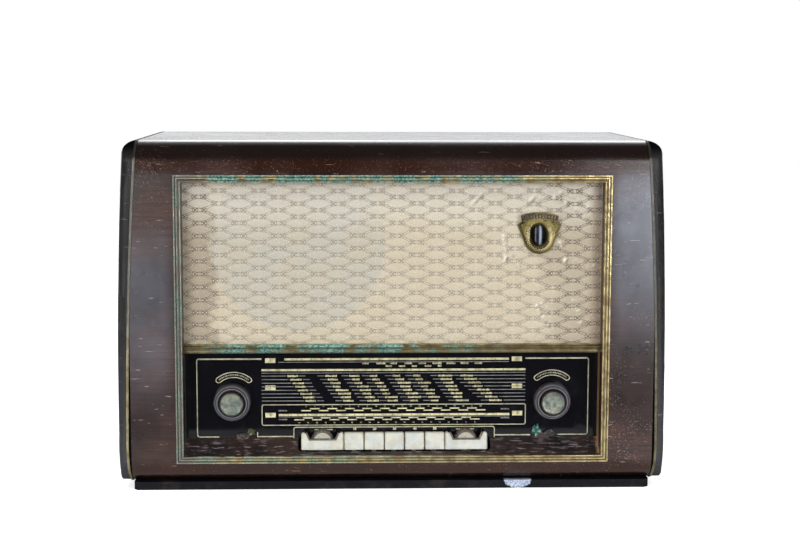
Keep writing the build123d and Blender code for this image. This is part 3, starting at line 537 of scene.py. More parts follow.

# %% [markdown]
# The shield round the tuning eye is cleaner, because nobody leans on it. Its colour paints the light
# of its shape: a painted highlight on a ring round the window, and painted shade towards the outline,
# in the depth and along the foot. The window's middle is read from the engineering model, so the
# ring stays round the eye.

# %% Brass of the eye's shield
badge_brass = finish("badge_brass", (0.40, 0.32, 0.12), 0.2, 1.0)
badge_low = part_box("eye_escutcheon")[0]
window_middle = sum(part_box("eye_tube"), Vector()) / 2
cloud = mottle(badge_brass, 70, 0.3, 0.75, detail=1)
pits = mottle(badge_brass, 420, 0.62, 0.75, detail=1)
x, y, z = (along(badge_brass, axis) for axis in "XYZ")
depth = between(y, badge_low.y + 0.0008, badge_low.y + 0.0040)
foot = between(z, badge_low.z + 0.012, badge_low.z + 0.001)
up = times(minus(z, window_middle.z), 0.82)
reach = length(minus(x, window_middle.x), up)
ring = times(between(apart(reach, 0.0112), 0.0026, 0.0008), between(up, 0.010, 0.004))
film = blend(cloud, (0.60, 0.49, 0.20), (0.42, 0.34, 0.13))
film = blend(times(pits, 0.5), film, (0.12, 0.09, 0.04))
# Painted shade: dark in the depth and along the foot, and dull towards the outline.
film = blend(larger(times(depth, 0.8), times(foot, 0.45)), film, (0.075, 0.055, 0.02))
film = blend(times(between(reach, 0.0150, 0.0168), 0.6), film, (0.16, 0.13, 0.045))
# Painted highlight: a bright ring round the window.
film = blend(times(ring, 0.75), film, (0.95, 0.80, 0.46))
put(badge_brass, "Base Color", film)
put(badge_brass, "Roughness", level(cloud, 0.2, 0.32))
wear("eye_escutcheon", badge_brass)
print("shield nodes:", len(badge_brass.node_tree.nodes))

# %% [markdown]
# ## Painted, moulded and metal parts
# The rest of the set is made of a few kinds of stuff: black paint on the plinth and the tray,
# yellowed ivory keys, brown moulded knobs, passivated steel, cast and drawn aluminium, bare wood,
# pressed board, paper and ferrite. Each gets its own unevenness, gloss and marks of use.

# %% Paint, mouldings, metal, wood and board
def worn_paint(name, colour, worn, roughness, scale, amount, **sockets):
    """Paint with clouds of dust and rubbed places."""
    material = finish(name, colour, roughness, **sockets)
    dust = times(mottle(material, scale * 7, 0.45, 0.75, detail=2), 0.25 * amount)
    rub = larger(times(mottle(material, scale, 0.5, 0.68, detail=5), amount), dust)
    put(material, "Base Color", blend(rub, colour, worn))
    put(material, "Roughness", level(rub, roughness, min(1.0, roughness + 0.3)))
    relief(material, mottle(material, scale * 12, 0.3, 0.7), 0.00006)
    return material


def moulded(name, colour, dirt, roughness):
    """Moulding powder: a faint swirl, dirt in clouds and a soft gloss."""
    material = finish(name, colour, roughness)
    swirl = mottle(material, 48, 0.3, 0.7, detail=2)
    grime = times(mottle(material, 120, 0.48, 0.75, detail=5), 0.5)
    shade = blend(times(swirl, 0.25), colour, tuple(0.75 * c for c in colour))
    put(material, "Base Color", blend(grime, shade, dirt))
    put(material, "Roughness", level(grime, roughness, min(1.0, roughness + 0.35)))
    relief(material, mottle(material, 960, 0.35, 0.7), 0.00005)
    return material


def bare_metal(name, colour, roughness, scale=90, stretch=(1, 1, 1), stain=(0.25, 0.2, 0.15), amount=0.35):
    """Metal with drawn or ground lines and thin stains."""
    material = finish(name, colour, roughness, 1.0)
    lines = mottle(material, scale * 6, 0.3, 0.7, detail=2, stretch=stretch)
    stains = times(mottle(material, scale, 0.5, 0.72, detail=5), amount)
    shade = blend(lines, colour, tuple(0.7 * c for c in colour))
    put(material, "Base Color", blend(stains, shade, stain))
    put(material, "Roughness", level(plus(stains, times(lines, 0.3)), roughness, roughness + 0.3))
    relief(material, lines, 0.00004)
    return material


def bare_wood(name, light, dark, grain):
    """Wood without lacquer: only its figure, drawn out along the grain."""
    material = finish(name, light, 0.75)
    figure = mottle(material, 1.0, 0.3, 0.7, detail=6, stretch=grain)
    put(material, "Base Color", blend(figure, dark, light))
    relief(material, figure, 0.0001)
    return material


def pressed_board(name, colour, fibre):
    """Hardboard and paper: short fibres and a slight cloud."""
    material = finish(name, colour, 0.8)
    fibres = mottle(material, 900, 0.35, 0.65, detail=2, stretch=(1, 1, 0.3))
    clouds = mottle(material, 22, 0.3, 0.7, detail=4)
    shade = blend(times(clouds, 0.5), colour, tuple(0.6 * c for c in colour))
    put(material, "Base Color", blend(times(fibres, 0.4), shade, fibre))
    relief(material, fibres, 0.00008)
    return material


print("plain finishes ready")

# %% [markdown]
# Two painted parts have marks that the eye goes to. The plinth has lost its paint in a pale patch,
# an ellipse whose edge a noise makes ragged. The tray round the dial carries a painted reflection on
# its right wall, red-brown with light streaks, and its sill is smeared and scratched by years of
# hands reaching for the keys.

# %% Plinth and tray
PATCH = (0.1292, 0.0085)
PATCH_HALF = (0.0150, 0.0088)
black_paint = worn_paint(
    "black_paint", (0.006, 0.0065, 0.009), (0.07, 0.05, 0.045), 0.6, 45, 0.3, Specular_IOR_Level=0.12
)


def bare_patch(material, plain):
    """The pale patch where the plinth's paint has come off."""
    across = over(minus(along(material, "X"), PATCH[0]), PATCH_HALF[0])
    down = over(minus(along(material, "Z"), PATCH[1]), PATCH_HALF[1])
    reach = plus(times(across, across), times(down, down))
    ragged = plus(reach, times(mottle(material, 300, 0.3, 0.7), 0.25))
    inside = times(between(ragged, 1.1, 0.95), between(along(material, "Y"), -0.110, -0.116))
    pale = blend(mottle(material, 420, 0.35, 0.65, detail=4), (0.22, 0.27, 0.38), (0.62, 0.68, 0.80))
    return blend(inside, plain, pale)


plain_black = black_paint.node_tree.nodes["Principled BSDF"].inputs["Base Color"].links[0].from_socket
put(black_paint, "Base Color", bare_patch(black_paint, plain_black))


def tray(name):
    """The black tray round the dial: a painted red-brown reflection on the right wall, smeared and scratched
    sill.
    """
    material = finish(name, (0.02, 0.016, 0.016), 0.4)
    x, z = along(material, "X"), along(material, "Z")
    right = between(x, 0.2085, 0.2155)
    left = between(x, -0.2085, -0.2155)
    sill = between(z, 0.060, 0.052)
    streak = mottle(material, 1.0, 0.35, 0.65, detail=5, stretch=(200, 200, 14))
    smear = mottle(material, 120, 0.52, 0.70, detail=8, stretch=(0.7, 1.6, 1.6), turn=(0, 0.2, 0.4))
    scratch = mottle(material, 190, 0.60, 0.64, detail=4, stretch=(0.35, 2, 2), turn=(0, 0.5, 0.5))
    base = blend(mottle(material, 30, 0.3, 0.7, detail=4), (0.012, 0.010, 0.011), (0.040, 0.024, 0.020))
    # Painted reflection: the right wall is red-brown with light upright streaks; the left wall gets faint
    # grey-green streaks.
    base = blend(right, base, (0.26, 0.115, 0.055))
    base = blend(times(right, streak), base, (0.55, 0.40, 0.22))
    base = blend(times(left, streak), base, (0.10, 0.11, 0.08))
    marks = times(larger(times(smear, 0.5), scratch), plus(times(sill, 0.6), 0.06))
    put(material, "Base Color", blend(marks, base, (0.30, 0.26, 0.27)))
    put(material, "Roughness", level(marks, 0.35, 0.6))
    relief(material, minus(1.0, marks), 0.00008)
    return material


wear("plinth", black_paint)
wear("dial_surround", tray("tray_paint"))
print("patch at", PATCH)

# %% [markdown]
# Round parts take their pattern from their own middle. The thumb wheels have ribs, a sine of the
# angle about the axle, and the outer rings have turned grooves, a sine of the distance from it.
# The relief is bump, because ribs this fine would cost thousands of faces and look no different.
# The colour is painted dark in the hollows and light on the crests, as shade and highlight.

# %% Thumb wheels and turned rings
def from_axle(material, node):
    """Across, up and outward distances from the middle of a round part."""
    low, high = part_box(node)
    x = minus(along(material, "X"), (low.x + high.x) / 2)
    z = minus(along(material, "Z"), (low.z + high.z) / 2)
    return x, z, length(x, z)


def ribbed_wheel(name, node):
    """A thumb wheel: a rim painted dark between its ribs and lighter on them, as shade and highlight, and a
    pale worn face inside them.
    """
    material = finish(name, (0.20, 0.18, 0.15), 0.4)
    x, z, out = from_axle(material, node)
    rib = calc("SINE", times(calc("ARCTAN2", x, z), 44))
    # Painted shade between the rim's ribs and painted highlight on them.
    rim = blend(between(rib, -0.3, 0.4), (0.03, 0.024, 0.02), (0.22, 0.19, 0.16))
    grime = mottle(material, 200, 0.4, 0.75, detail=5)
    face = blend(grime, (0.52, 0.50, 0.42), (0.30, 0.24, 0.17))
    inside = between(out, 0.0093, 0.0087)
    put(material, "Base Color", blend(inside, rim, face))
    put(material, "Roughness", level(grime, 0.35, 0.6))
    relief(material, times(rib, minus(1.0, inside)), 0.0002)
    return material


def turned_grooves(name, node):
    """A turned ring: fine ridges round its own middle, painted light on their crests and dark in the grooves,
    as highlight and shade.
    """
    material = finish(name, (0.08, 0.08, 0.09), 0.36)
    out = from_axle(material, node)[2]
    ridge = between(calc("SINE", times(out, 2 * math.pi / 0.0024)), -0.4, 0.7)
    grime = mottle(material, 150, 0.35, 0.7, detail=5)
    # Painted highlight on the ridges and painted shade in the grooves.
    shade = blend(ridge, (0.030, 0.028, 0.036), (0.19, 0.195, 0.22))
    put(material, "Base Color", blend(times(grime, 0.6), shade, (0.07, 0.055, 0.05)))
    put(material, "Roughness", level(grime, 0.3, 0.5))
    relief(material, ridge, 0.0003)
    return material


wear("aerial_ring", turned_grooves("left_ring_moulding", "aerial_ring"))
wear("fm_tuning_ring", turned_grooves("right_ring_moulding", "fm_tuning_ring"))
wear("thumb_wheel_left", ribbed_wheel("left_wheel_moulding", "thumb_wheel_left"))
wear("thumb_wheel_right", ribbed_wheel("right_wheel_moulding", "thumb_wheel_right"))
print("round finishes: 4")

# %% [markdown]
# Everything else wears one of the plain finishes as it is. Most of these parts are inside the case
# and are only seen through the slots of the back, but each still has its real stuff: varnished
# transformer cores, drawn cans, cast vanes, raw plywood, paper and ferrite.

# %% A finish for every plain part
brown_moulding = moulded("brown_moulding", (0.035, 0.022, 0.016), (0.10, 0.08, 0.06), 0.3)
steel = bare_metal("passivated_steel", (0.50, 0.47, 0.40), 0.32)
wear("dial_back_plate", "am_pointer", "fm_pointer", "speaker_basket",
     worn_paint("grey_paint", (0.13, 0.135, 0.14), (0.30, 0.26, 0.22), 0.5, 60, 0.4))
wear("mains_transformer", "output_transformer", "speaker_magnet",
     worn_paint("core_varnish", (0.035, 0.034, 0.036), (0.20, 0.12, 0.07), 0.4, 80, 0.5))
wear("glass_clips", worn_paint("rusty_clip", (0.055, 0.032, 0.028), (0.26, 0.17, 0.15), 0.7, 160, 0.8))
wear("ferrite_rod", worn_paint("ferrite", (0.045, 0.045, 0.05), (0.12, 0.11, 0.10), 0.6, 90, 0.4))
wear("pulley_left", "pulley_right", "cord_drum", "key_switch_unit", brown_moulding)
wear("valve_sockets", "socket_panel", "volume_knob", "tuning_knob", brown_moulding)
wear("mains_gland", moulded("black_rubber", (0.02, 0.02, 0.02), (0.09, 0.085, 0.08), 0.7))
wear("eye_bracket", "tuning_spindle", "potentiometers", "chassis", steel)
wear("tuning_capacitor_frame", "ferrite_bracket", steel)
wear("smoothing_capacitor", "screening_cans",
     bare_metal("drawn_aluminium", (0.66, 0.67, 0.68), 0.28, stretch=(1, 1, 0.08)))
wear("tuning_capacitor_rotor", bare_metal("vane_aluminium", (0.70, 0.70, 0.69), 0.25))
wear("bottom_board", "baffle_board",
     bare_wood("bare_plywood", (0.45, 0.31, 0.18), (0.30, 0.19, 0.10), (12, 200, 200)))
wear("back_battens", bare_wood("batten_wood", (0.46, 0.34, 0.21), (0.30, 0.20, 0.11), (30, 200, 14)))
wear("back_panel", pressed_board("back_hardboard", (0.155, 0.092, 0.050), (0.27, 0.18, 0.105)))
wear("speaker_cone", pressed_board("cone_paper", (0.05, 0.047, 0.045), (0.12, 0.115, 0.11)))
wear("dial_cord", pressed_board("waxed_cord", (0.33, 0.26, 0.16), (0.50, 0.42, 0.28)))
print("finishes so far:", len(bpy.data.materials))

# %% [markdown]
# ## Knob caps and keys
# The caps are brass discs whose lacquer has failed: a green-grey patina in clouds, with dark specks
# where the metal has pitted. The keys are ivory plastic, clean where fingers press and brown along
# their lower edge and their joints. The joints repeat, so one fraction of the place across, divided
# by the distance from key to key, finds them all.

# %% Caps and keys
def patina_cap(name):
    """Brass under a grey-green film, with dark specks where it has pitted."""
    material = finish(name, (0.24, 0.27, 0.24), 0.4, 0.7)
    clouds = mottle(material, 170, 0.35, 0.65, detail=6)
    specks = mottle(material, 600, 0.58, 0.68, detail=2)
    shade = blend(clouds, (0.13, 0.17, 0.165), (0.34, 0.35, 0.27))
    put(material, "Base Color", blend(times(specks, 0.7), shade, (0.10, 0.08, 0.05)))
    put(material, "Roughness", level(clouds, 0.6, 0.42))
    relief(material, plus(clouds, specks), 0.00012)
    return material


KEY_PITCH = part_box("key_2")[0].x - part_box("key_1")[0].x
KEYS_MIDDLE = (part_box("key_1")[0].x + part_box("key_5")[1].x) / 2


def ivory(name):
    """Yellowed white keys, with brown dirt along their joints and lower edges."""
    material = finish(name, (0.64, 0.655, 0.60), 0.28, Coat_Weight=0.3, Coat_Roughness=0.2)
    low = between(along(material, "Z"), 0.044, 0.0345)
    smudge = mottle(material, 130, 0.36, 0.62, detail=6)
    x = along(material, "X")
    steps = over(minus(x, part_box("key_1")[0].x - 0.0004), KEY_PITCH)
    joint = between(apart(calc("FRACT", steps), 0.5), 0.36, 0.5)
    joint = times(joint, between(apart(x, KEYS_MIDDLE), 0.056, 0.054))
    reach = larger(low, times(joint, 0.8))
    dirt = times(smudge, plus(times(reach, 0.65), 0.30))
    clean = blend(mottle(material, 70, 0.35, 0.65, detail=4), (0.60, 0.64, 0.62), (0.70, 0.69, 0.60))
    put(material, "Base Color", blend(dirt, clean, (0.33, 0.28, 0.15)))
    put(material, "Roughness", level(dirt, 0.25, 0.6))
    relief(material, smudge, 0.00004)
    return material


wear("volume_knob_cap", "tuning_knob_cap", patina_cap("cap_patina"))
wear("key_end_blocks", "key_1", "key_2", "key_3", "key_4", "key_5", ivory("ivory_plastic"))
print("keys:", [name for name in NODES if name.startswith("key_")])

# %% [markdown]
# ## Glass
# The dial glass is printed black on its back, so from the front it is a black mirror, and a dark
# glossy surface shows that better than real glass over a black sheet. The valves are clear glass.
# The tuning eye is dark in its window, with one pale upright streak down the tube, a painted highlight.

# %% Dial glass and clear glass
dial_black = finish("dial_black", (0.004, 0.004, 0.006), 0.06, Specular_IOR_Level=0.4)
smear = mottle(dial_black, 30, 0.5, 0.8, detail=6)
put(dial_black, "Roughness", level(smear, 0.05, 0.3))
put(dial_black, "Base Color", blend(smear, (0.004, 0.004, 0.006), (0.012, 0.011, 0.012)))
clear_glass = finish("clear_glass", (0.9, 0.93, 0.92), 0.03, Transmission_Weight=0.9, IOR=1.46)
haze = mottle(clear_glass, 60, 0.5, 0.8, detail=4)
put(clear_glass, "Roughness", level(haze, 0.02, 0.2))
eye_glass = finish("eye_glass", (0.02, 0.025, 0.04), 0.25, Coat_Weight=0.25, Coat_Roughness=0.12)
eye_cloud = mottle(eye_glass, 80, 0.4, 0.7, detail=4)
eye_shade = blend(eye_cloud, (0.008, 0.010, 0.02), (0.03, 0.04, 0.06))
# Painted highlight: a pale upright streak down the tube.
eye_highlight = between(apart(along(eye_glass, "X"), 0.1505), 0.0022, 0.0008)
put(eye_glass, "Base Color", blend(times(eye_highlight, 0.7), eye_shade, (0.16, 0.22, 0.28)))
wear("dial_glass", dial_black)
wear("valves", "dial_lamps", clear_glass)
wear("eye_tube", eye_glass)
print("glass:", dial_black.name, clear_glass.name, eye_glass.name)

# %% [markdown]
# ## Speaker cloth
# The grille is a stiff woven cloth glued over a board. Its weave repeats every 40 mm across and
# 13 mm up: smooth pointed ovals in staggered rows, and pairs of small crossed knots between them.
# The ovals stand a little proud, so they are real relief in a fine grid. The threads are far finer
# than any grid, so they are drawn by the material. The cloth has been pulled about near the eye,
# so each point remembers its place in the weave as a UV, and both relief and material read that.

# %% Where the weave is, and where it has been pulled
REPEAT_X = 0.0400
REPEAT_Z = 0.01305
FIRST_PAIR = (-0.1760, 0.3074)
OVAL_HALF_LENGTH = 0.34
OVAL_HALF_HEIGHT = 0.37
SPEAKER_MIDDLE = (-0.097, 0.2530)
FOLDS = [
    ([(112, 261), (115, 248), (114, 236)], 2.2, 1.5),
    ([(118, 250), (122, 236), (130, 231)], 2.6, 0.9),
    ([(170, 254), (175, 245), (177, 234)], 2.4, 1.4),
    ([(136, 297), (145, 302), (158, 303), (172, 297), (184, 290), (196, 281)], 2.6, 1.3),
    ([(168, 307), (186, 300), (203, 288)], 2.4, 1.0),
    ([(146, 191), (152, 181), (159, 170)], 2.0, 1.7),
    ([(152, 192), (158, 183)], 1.8, 1.1),
    ([(80, 295), (89, 304)], 2.0, 1.2),
    ([(180, 205), (190, 186), (194, 168)], 3.0, 0.9),
    ([(186, 236), (199, 228), (208, 232)], 2.6, 0.8),
    ([(60, 232), (88, 262)], 5.0, 0.35),
]


def smooth_step(value, low, high):
    t = min(1.0, max(0.0, (value - low) / (high - low)))
    return t * t * (3 - 2 * t)


def near_line(x, z, points):
    """Distance in metres from a place to a line through points in millimetres."""
    best = 1.0
    place = Vector((x, z))
    for a, b in zip(points, points[1:]):
        start, end = Vector(a) * MM, Vector(b) * MM
        share = max(0.0, min(1.0, (place - start).dot(end - start) / (end - start).length_squared))
        best = min(best, (place - start.lerp(end, share)).length)
    return best


def fold_height(x, z):
    """Height of the puckers and folds at a place, in metres."""
    height = 0.0
    for points, width, rise in FOLDS:
        distance = near_line(x, z, points) / (width * MM)
        broken = 0.55 + 0.9 * noise.noise(Vector((x * 230, z * 230, width)))
        height += rise * MM * max(0.0, broken) * math.exp(-distance * distance)
    slack = smooth_step(x, 0.05, 0.16)
    return height + 0.00035 * slack * noise.noise(Vector((x * 60, z * 60, 1.3)))


def weave_place(x, z):
    """The weave's own coordinates: the place before the cloth was pulled."""
    slack = 0.25 + smooth_step(x, 0.03, 0.17) + 0.6 * smooth_step(-x, 0.17, 0.21)
    pull_x = noise.noise(Vector((x * 22, z * 22, 5.1))) * 0.0022
    pull_z = noise.noise(Vector((x * 16, z * 30, 9.7))) * 0.0016
    return x + slack * pull_x, z + slack * pull_z


def oval_depth(u, v):
    """Above zero inside an oval whose centre is at whole numbers of u and v."""
    across = (u - round(u)) / OVAL_HALF_LENGTH
    return OVAL_HALF_HEIGHT * (1 - across * across) - abs(v - round(v))


print("weave repeats", REPEAT_X, "by", REPEAT_Z)

# %% [markdown]
# The cloth starts as a grid of 1.5 mm squares, stood up behind the frame. Every point is moved
# forward by its share of the ovals and the folds, and keeps two notes: its place in the weave, as
# a UV, and how steeply a fold rises towards its upper left, as a number from which the material
# paints the folds' shade and highlight. The faces in front of the tuning eye are deleted, because
# the real cloth has its hole there.

# %% The cloth itself
CLOTH_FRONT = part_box("speaker_cloth")[0].y
CLOTH_HALF = 0.2240
CLOTH_LOW, CLOTH_HIGH = 0.1430, 0.3260
CLOTH_THICKNESS = 0.0008
CLOTH_GRID = 0.0015
EYE_CENTRE = (0.1486, 0.2620)
EYE_STRAIGHT = 0.0033
EYE_RADIUS = 0.0085

cloth_mesh = bmesh.new()
bmesh.ops.create_grid(
    cloth_mesh,
    x_segments=round(2 * CLOTH_HALF / CLOTH_GRID),
    y_segments=round((CLOTH_HIGH - CLOTH_LOW) / CLOTH_GRID),
    size=0.5,
    matrix=Matrix.Translation((0, CLOTH_FRONT, (CLOTH_LOW + CLOTH_HIGH) / 2))
    @ Matrix.Rotation(math.radians(90), 4, "X")
    @ Matrix.Diagonal((2 * CLOTH_HALF, CLOTH_HIGH - CLOTH_LOW, 1, 1)),
)
weave_uv = cloth_mesh.loops.layers.uv.new("weave")
fold_shading_layer = cloth_mesh.verts.layers.float.new("fold_shading")
for corner in cloth_mesh.verts:
    x, z = corner.co.x, corner.co.z
    u, v = weave_place(x, z)
    u, v = (u - FIRST_PAIR[0]) / REPEAT_X, (v - FIRST_PAIR[1]) / REPEAT_Z
    proud = max(oval_depth(u + 0.5, v), oval_depth(u, v + 0.5))
    clear = smooth_step(0.2125 - abs(x), 0.0, 0.006) * smooth_step(0.3155 - z, 0.0, 0.006)
    clear *= smooth_step(z - 0.1525, 0.0, 0.005)
    rise = fold_height(x, z)
    # The fold's rise towards the upper left, which the material paints as shade and highlight.
    corner[fold_shading_layer] = clear * (fold_height(x - 0.0012, z + 0.0012) - rise) / MM
    corner.co.y -= clear * (0.0004 * smooth_step(proud, 0.0, 0.2) + 1.3 * rise)
for face in cloth_mesh.faces:
    for loop in face.loops:
        loop[weave_uv].uv = weave_place(loop.vert.co.x, loop.vert.co.z)
window = []
for face in cloth_mesh.faces:
    middle = face.calc_center_median()
    beyond = max(0.0, abs(middle.z - EYE_CENTRE[1]) - EYE_STRAIGHT)
    if math.hypot(middle.x - EYE_CENTRE[0], beyond) < EYE_RADIUS:
        window.append(face)
bmesh.ops.delete(cloth_mesh, geom=window, context="FACES")
print("cloth faces:", len(cloth_mesh.faces))

# %% [markdown]
# The cloth's material repeats the same ovals as fine dark threads, adds the crossed knots, and lays
# the stains over them: brown at the left edge where the glue soaked through, cream elsewhere. It
# paints light and shade too: a cooler grey shade over the loudspeaker's hole, where no board backs
# the cloth, a lighter upper part, a dark band under the frame's top that is part painted shadow and
# part stain, and shade and highlight on the folds.

# %% Woven cloth material
def crossing(u, v):
    """Threads round one set of ovals, and the knots of the pairs half a repeat away."""
    across = minus(calc("FRACT", u), 0.5)
    up = apart(calc("FRACT", v), 0.5)
    share = over(across, OVAL_HALF_LENGTH)
    edge = times(minus(1.0, times(share, share)), OVAL_HALF_HEIGHT)
    thread = times(between(apart(up, edge), 0.050, 0.012), 0.75)
    sideways = over(apart(apart(across), 0.388), 0.074)
    upward = over(up, 0.180)
    inside = between(larger(sideways, upward), 1.05, 0.9)
    stem = between(apart(sideways, 0.9), 0.2, 0.1)
    cross = larger(between(apart(sideways, upward), 0.40, 0.22), stem)
    gleam = times(between(apart(sideways, 0.62), 0.2, 0.1), between(upward, 0.32, 0.15))
    return larger(thread, times(cross, inside)), inside, gleam


def woven_cloth():
    """Cream cloth with its stains, its drawn threads and painted light and shade: over the speaker's hole, at
    the top and on its folds.
    """
    cream = (0.66, 0.585, 0.44)
    material = finish("woven_speaker_cloth", cream, 0.75, Sheen_Weight=0.25, Sheen_Roughness=0.5)
    tree = material.node_tree
    place = add(tree, "UVMap", {}, uv_map="weave")
    u0 = add(tree, "SeparateXYZ", {0: place}, output="X")
    v0 = add(tree, "SeparateXYZ", {0: place}, output="Y")
    u = over(minus(u0, FIRST_PAIR[0]), REPEAT_X)
    v = over(minus(v0, FIRST_PAIR[1]), REPEAT_Z)
    first, first_knot, first_gleam = crossing(u, plus(v, 0.5))
    second, second_knot, second_gleam = crossing(plus(u, 0.5), v)
    threads = larger(first, second)
    knots = larger(first_knot, second_knot)
    x, z = along(material, "X"), along(material, "Z")
    from_speaker = length(minus(x, SPEAKER_MIDDLE[0]), minus(z, SPEAKER_MIDDLE[1]))
    # Painted shade: greyer over the loudspeaker's hole, where no board backs the cloth.
    hollow = between(from_speaker, 0.092, 0.085)
    ragged = mottle(material, 40, 0.3, 0.7, detail=4)
    left = between(plus(x, times(ragged, 0.012)), -0.170, -0.181)
    right = between(minus(x, times(ragged, 0.02)), 0.135, 0.165)
    margin = between(x, 0.199, 0.206)
    high = between(z, 0.308, 0.316)
    body = blend(hollow, cream, (0.545, 0.53, 0.455))
    body = blend(times(mottle(material, 26, 0.35, 0.7, detail=4), 0.5), body, (0.60, 0.50, 0.34))
    body = blend(times(right, 0.55), body, (0.36, 0.30, 0.21))
    body = blend(times(left, 0.8), body, (0.34, 0.28, 0.20))
    # Painted light: the upper part of the cloth is lighter.
    body = blend(times(between(z, 0.255, 0.305), 0.55), body, (0.88, 0.84, 0.74))
    body = blend(times(margin, 0.45), body, (0.30, 0.17, 0.12))
    # Painted shadow and stain: a dark band under the top of the frame.
    body = blend(times(high, 0.5), body, (0.25, 0.17, 0.13))
    body = blend(times(knots, 0.35), body, (0.50, 0.44, 0.33))
    stained = larger(left, margin, right)
    strong = plus(times(stained, 0.45), 0.50)
    body = blend(times(threads, strong), body, (0.12, 0.085, 0.055))
    fine = 2 * math.pi / 0.0009
    rib = plus(times(calc("SINE", times(u0, fine)), calc("SINE", times(v0, fine)), 0.5), 0.5)
    body = blend(times(rib, 0.12), body, (0.30, 0.25, 0.17))
    grain = mottle(material, 820, 0.36, 0.66, detail=3)
    body = blend(times(grain, 0.34), body, (0.34, 0.29, 0.20))
    glints = mottle(material, 760, 0.56, 0.68, detail=3, move=(0.3, 0.1, 0.2))
    body = blend(times(glints, 0.40), body, (0.92, 0.90, 0.82))
    body = blend(times(larger(first_gleam, second_gleam), 0.8), body, (0.80, 0.77, 0.68))
    # Painted shade below and right of each fold, painted highlight above and left of it.
    fold_shading = add(tree, "Attribute", {}, output="Fac", attribute_name="fold_shading")
    body = blend(times(between(fold_shading, 0.03, 0.55), 0.6), body, (0.22, 0.17, 0.11))
    body = blend(times(between(fold_shading, -0.03, -0.55), 0.7), body, (0.90, 0.86, 0.74))
    put(material, "Base Color", body)
    relief(material, minus(times(rib, 0.5), threads), 0.00018)
    return material


speaker_cloth = as_object("woven_cloth", cloth_mesh, "cabinet", woven_cloth())
thickness = speaker_cloth.modifiers.new("thickness", "SOLIDIFY")
thickness.thickness = CLOTH_THICKNESS
thickness.offset = -1
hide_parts("speaker_cloth")
print("cloth:", len(speaker_cloth.data.vertices), "vertices")

# %% [markdown]
# ## The printed dial
# A dial is screen-printed in pale gold, with crisp edges and no thickness to speak of. Each line is
# a bar of its own here, a twentieth of a millimetre thick, lying on the black glass at the place
# measured in the photograph. A texture could do it too, but bars stay sharp at any distance. The
# printing is generic: scales with plain figures and rows of short marks where such dials list
# stations.

# %% Bars, rounded frames and figures
FILM = 0.00005
PRINT_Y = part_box("dial_glass")[0].y - FILM / 2


def printing_ink(name, faded, fresh):
    """Screen print that has rubbed away a little in places."""
    material = finish(name, fresh, 0.35, Coat_Weight=0.4, Coat_Roughness=0.08)
    rubbed = mottle(material, 170, 0.34, 0.6, detail=5)
    put(material, "Base Color", blend(rubbed, faded, fresh))
    put(material, "Roughness", level(rubbed, 0.5, 0.3))
    return material


gold_print = printing_ink("gold_print", (0.40, 0.36, 0.20), (0.74, 0.70, 0.42))
line_print = printing_ink("line_print", (0.30, 0.28, 0.19), (0.56, 0.54, 0.38))
grey_print = printing_ink("grey_print", (0.12, 0.12, 0.12), (0.26, 0.26, 0.24))
black_print = printing_ink("black_print", (0.03, 0.028, 0.026), (0.012, 0.011, 0.012))


def bar(built, x0, x1, z0, z1, lift=0.0):
    """One printed bar between two corners given in millimetres."""
    centre = Vector(((x0 + x1) / 2 * MM, PRINT_Y - lift, (z0 + z1) / 2 * MM))
    size = Matrix.Diagonal(((x1 - x0) * MM, FILM, (z1 - z0) * MM, 1))
    bmesh.ops.create_cube(built, size=1, matrix=Matrix.Translation(centre) @ size)


def rounded_frame(across, up, radius, width, cuts=0):
    """A flat printed outline with round corners, standing in the XZ plane about the origin."""
    outline = bmesh.new()
    bmesh.ops.create_grid(outline, x_segments=1, y_segments=1, size=0.5)
    scale = Matrix.Diagonal((across * MM, up * MM, 1, 1))
    bmesh.ops.transform(outline, matrix=Matrix.Rotation(math.pi / 2, 4, "X") @ scale, verts=outline.verts)
    bmesh.ops.bevel(outline, geom=outline.verts[:], offset=radius * MM, affect="VERTICES", segments=6,
                    profile=0.5, material=-1)
    centre_face = outline.faces[:]
    bmesh.ops.inset_region(
        outline, faces=centre_face, thickness=width * MM, use_boundary=True, use_even_offset=True
    )
    bmesh.ops.delete(outline, geom=centre_face, context="FACES")
    if cuts:
        long_edges = [e for e in outline.edges if e.calc_length() > 0.4 * across * MM]
        bmesh.ops.subdivide_edges(outline, edges=long_edges, cuts=cuts, use_grid_fill=True)
    return outline


def thick(flat, x, z):
    """Gives a flat print its film thickness and puts it in its place on the glass."""
    bmesh.ops.recalc_face_normals(flat, faces=flat.faces)
    bmesh.ops.solidify(flat, geom=flat.faces[:], thickness=FILM / 2)
    bmesh.ops.transform(flat, matrix=Matrix.Translation((x * MM, PRINT_Y, z * MM)), verts=flat.verts)
    return flat


def figures(built, text, x, z, height, lift=0.0, bold=0.0):
    """Plain figures centred on a place, made a mesh before they are put there."""
    curve = bpy.data.curves.new("figures", "FONT")
    curve.body = text
    curve.size = height * 1.4 * MM
    curve.resolution_u = 2
    curve.align_x = "CENTER"
    curve.align_y = "CENTER"
    curve.extrude = FILM / 2
    curve.offset = bold * MM
    carrier = bpy.data.objects.new("figures", curve)
    shape = bpy.data.meshes.new_from_object(carrier)
    place = Matrix.Translation((x * MM, PRINT_Y - lift, z * MM))
    shape.transform(place @ Matrix.Rotation(math.pi / 2, 4, "X"))
    built.from_mesh(shape)
    bpy.data.meshes.remove(shape)
    bpy.data.objects.remove(carrier)
    bpy.data.curves.remove(curve)


print("print film:", FILM, "m at y =", round(PRINT_Y, 5))

# %% [markdown]
# A thin gold line frames the glass and steps round the key bank. Its straight lengths are bars, and
# each round corner is a short edge spun through a right angle, because a spin gives a corner of
# even width whatever its radius.

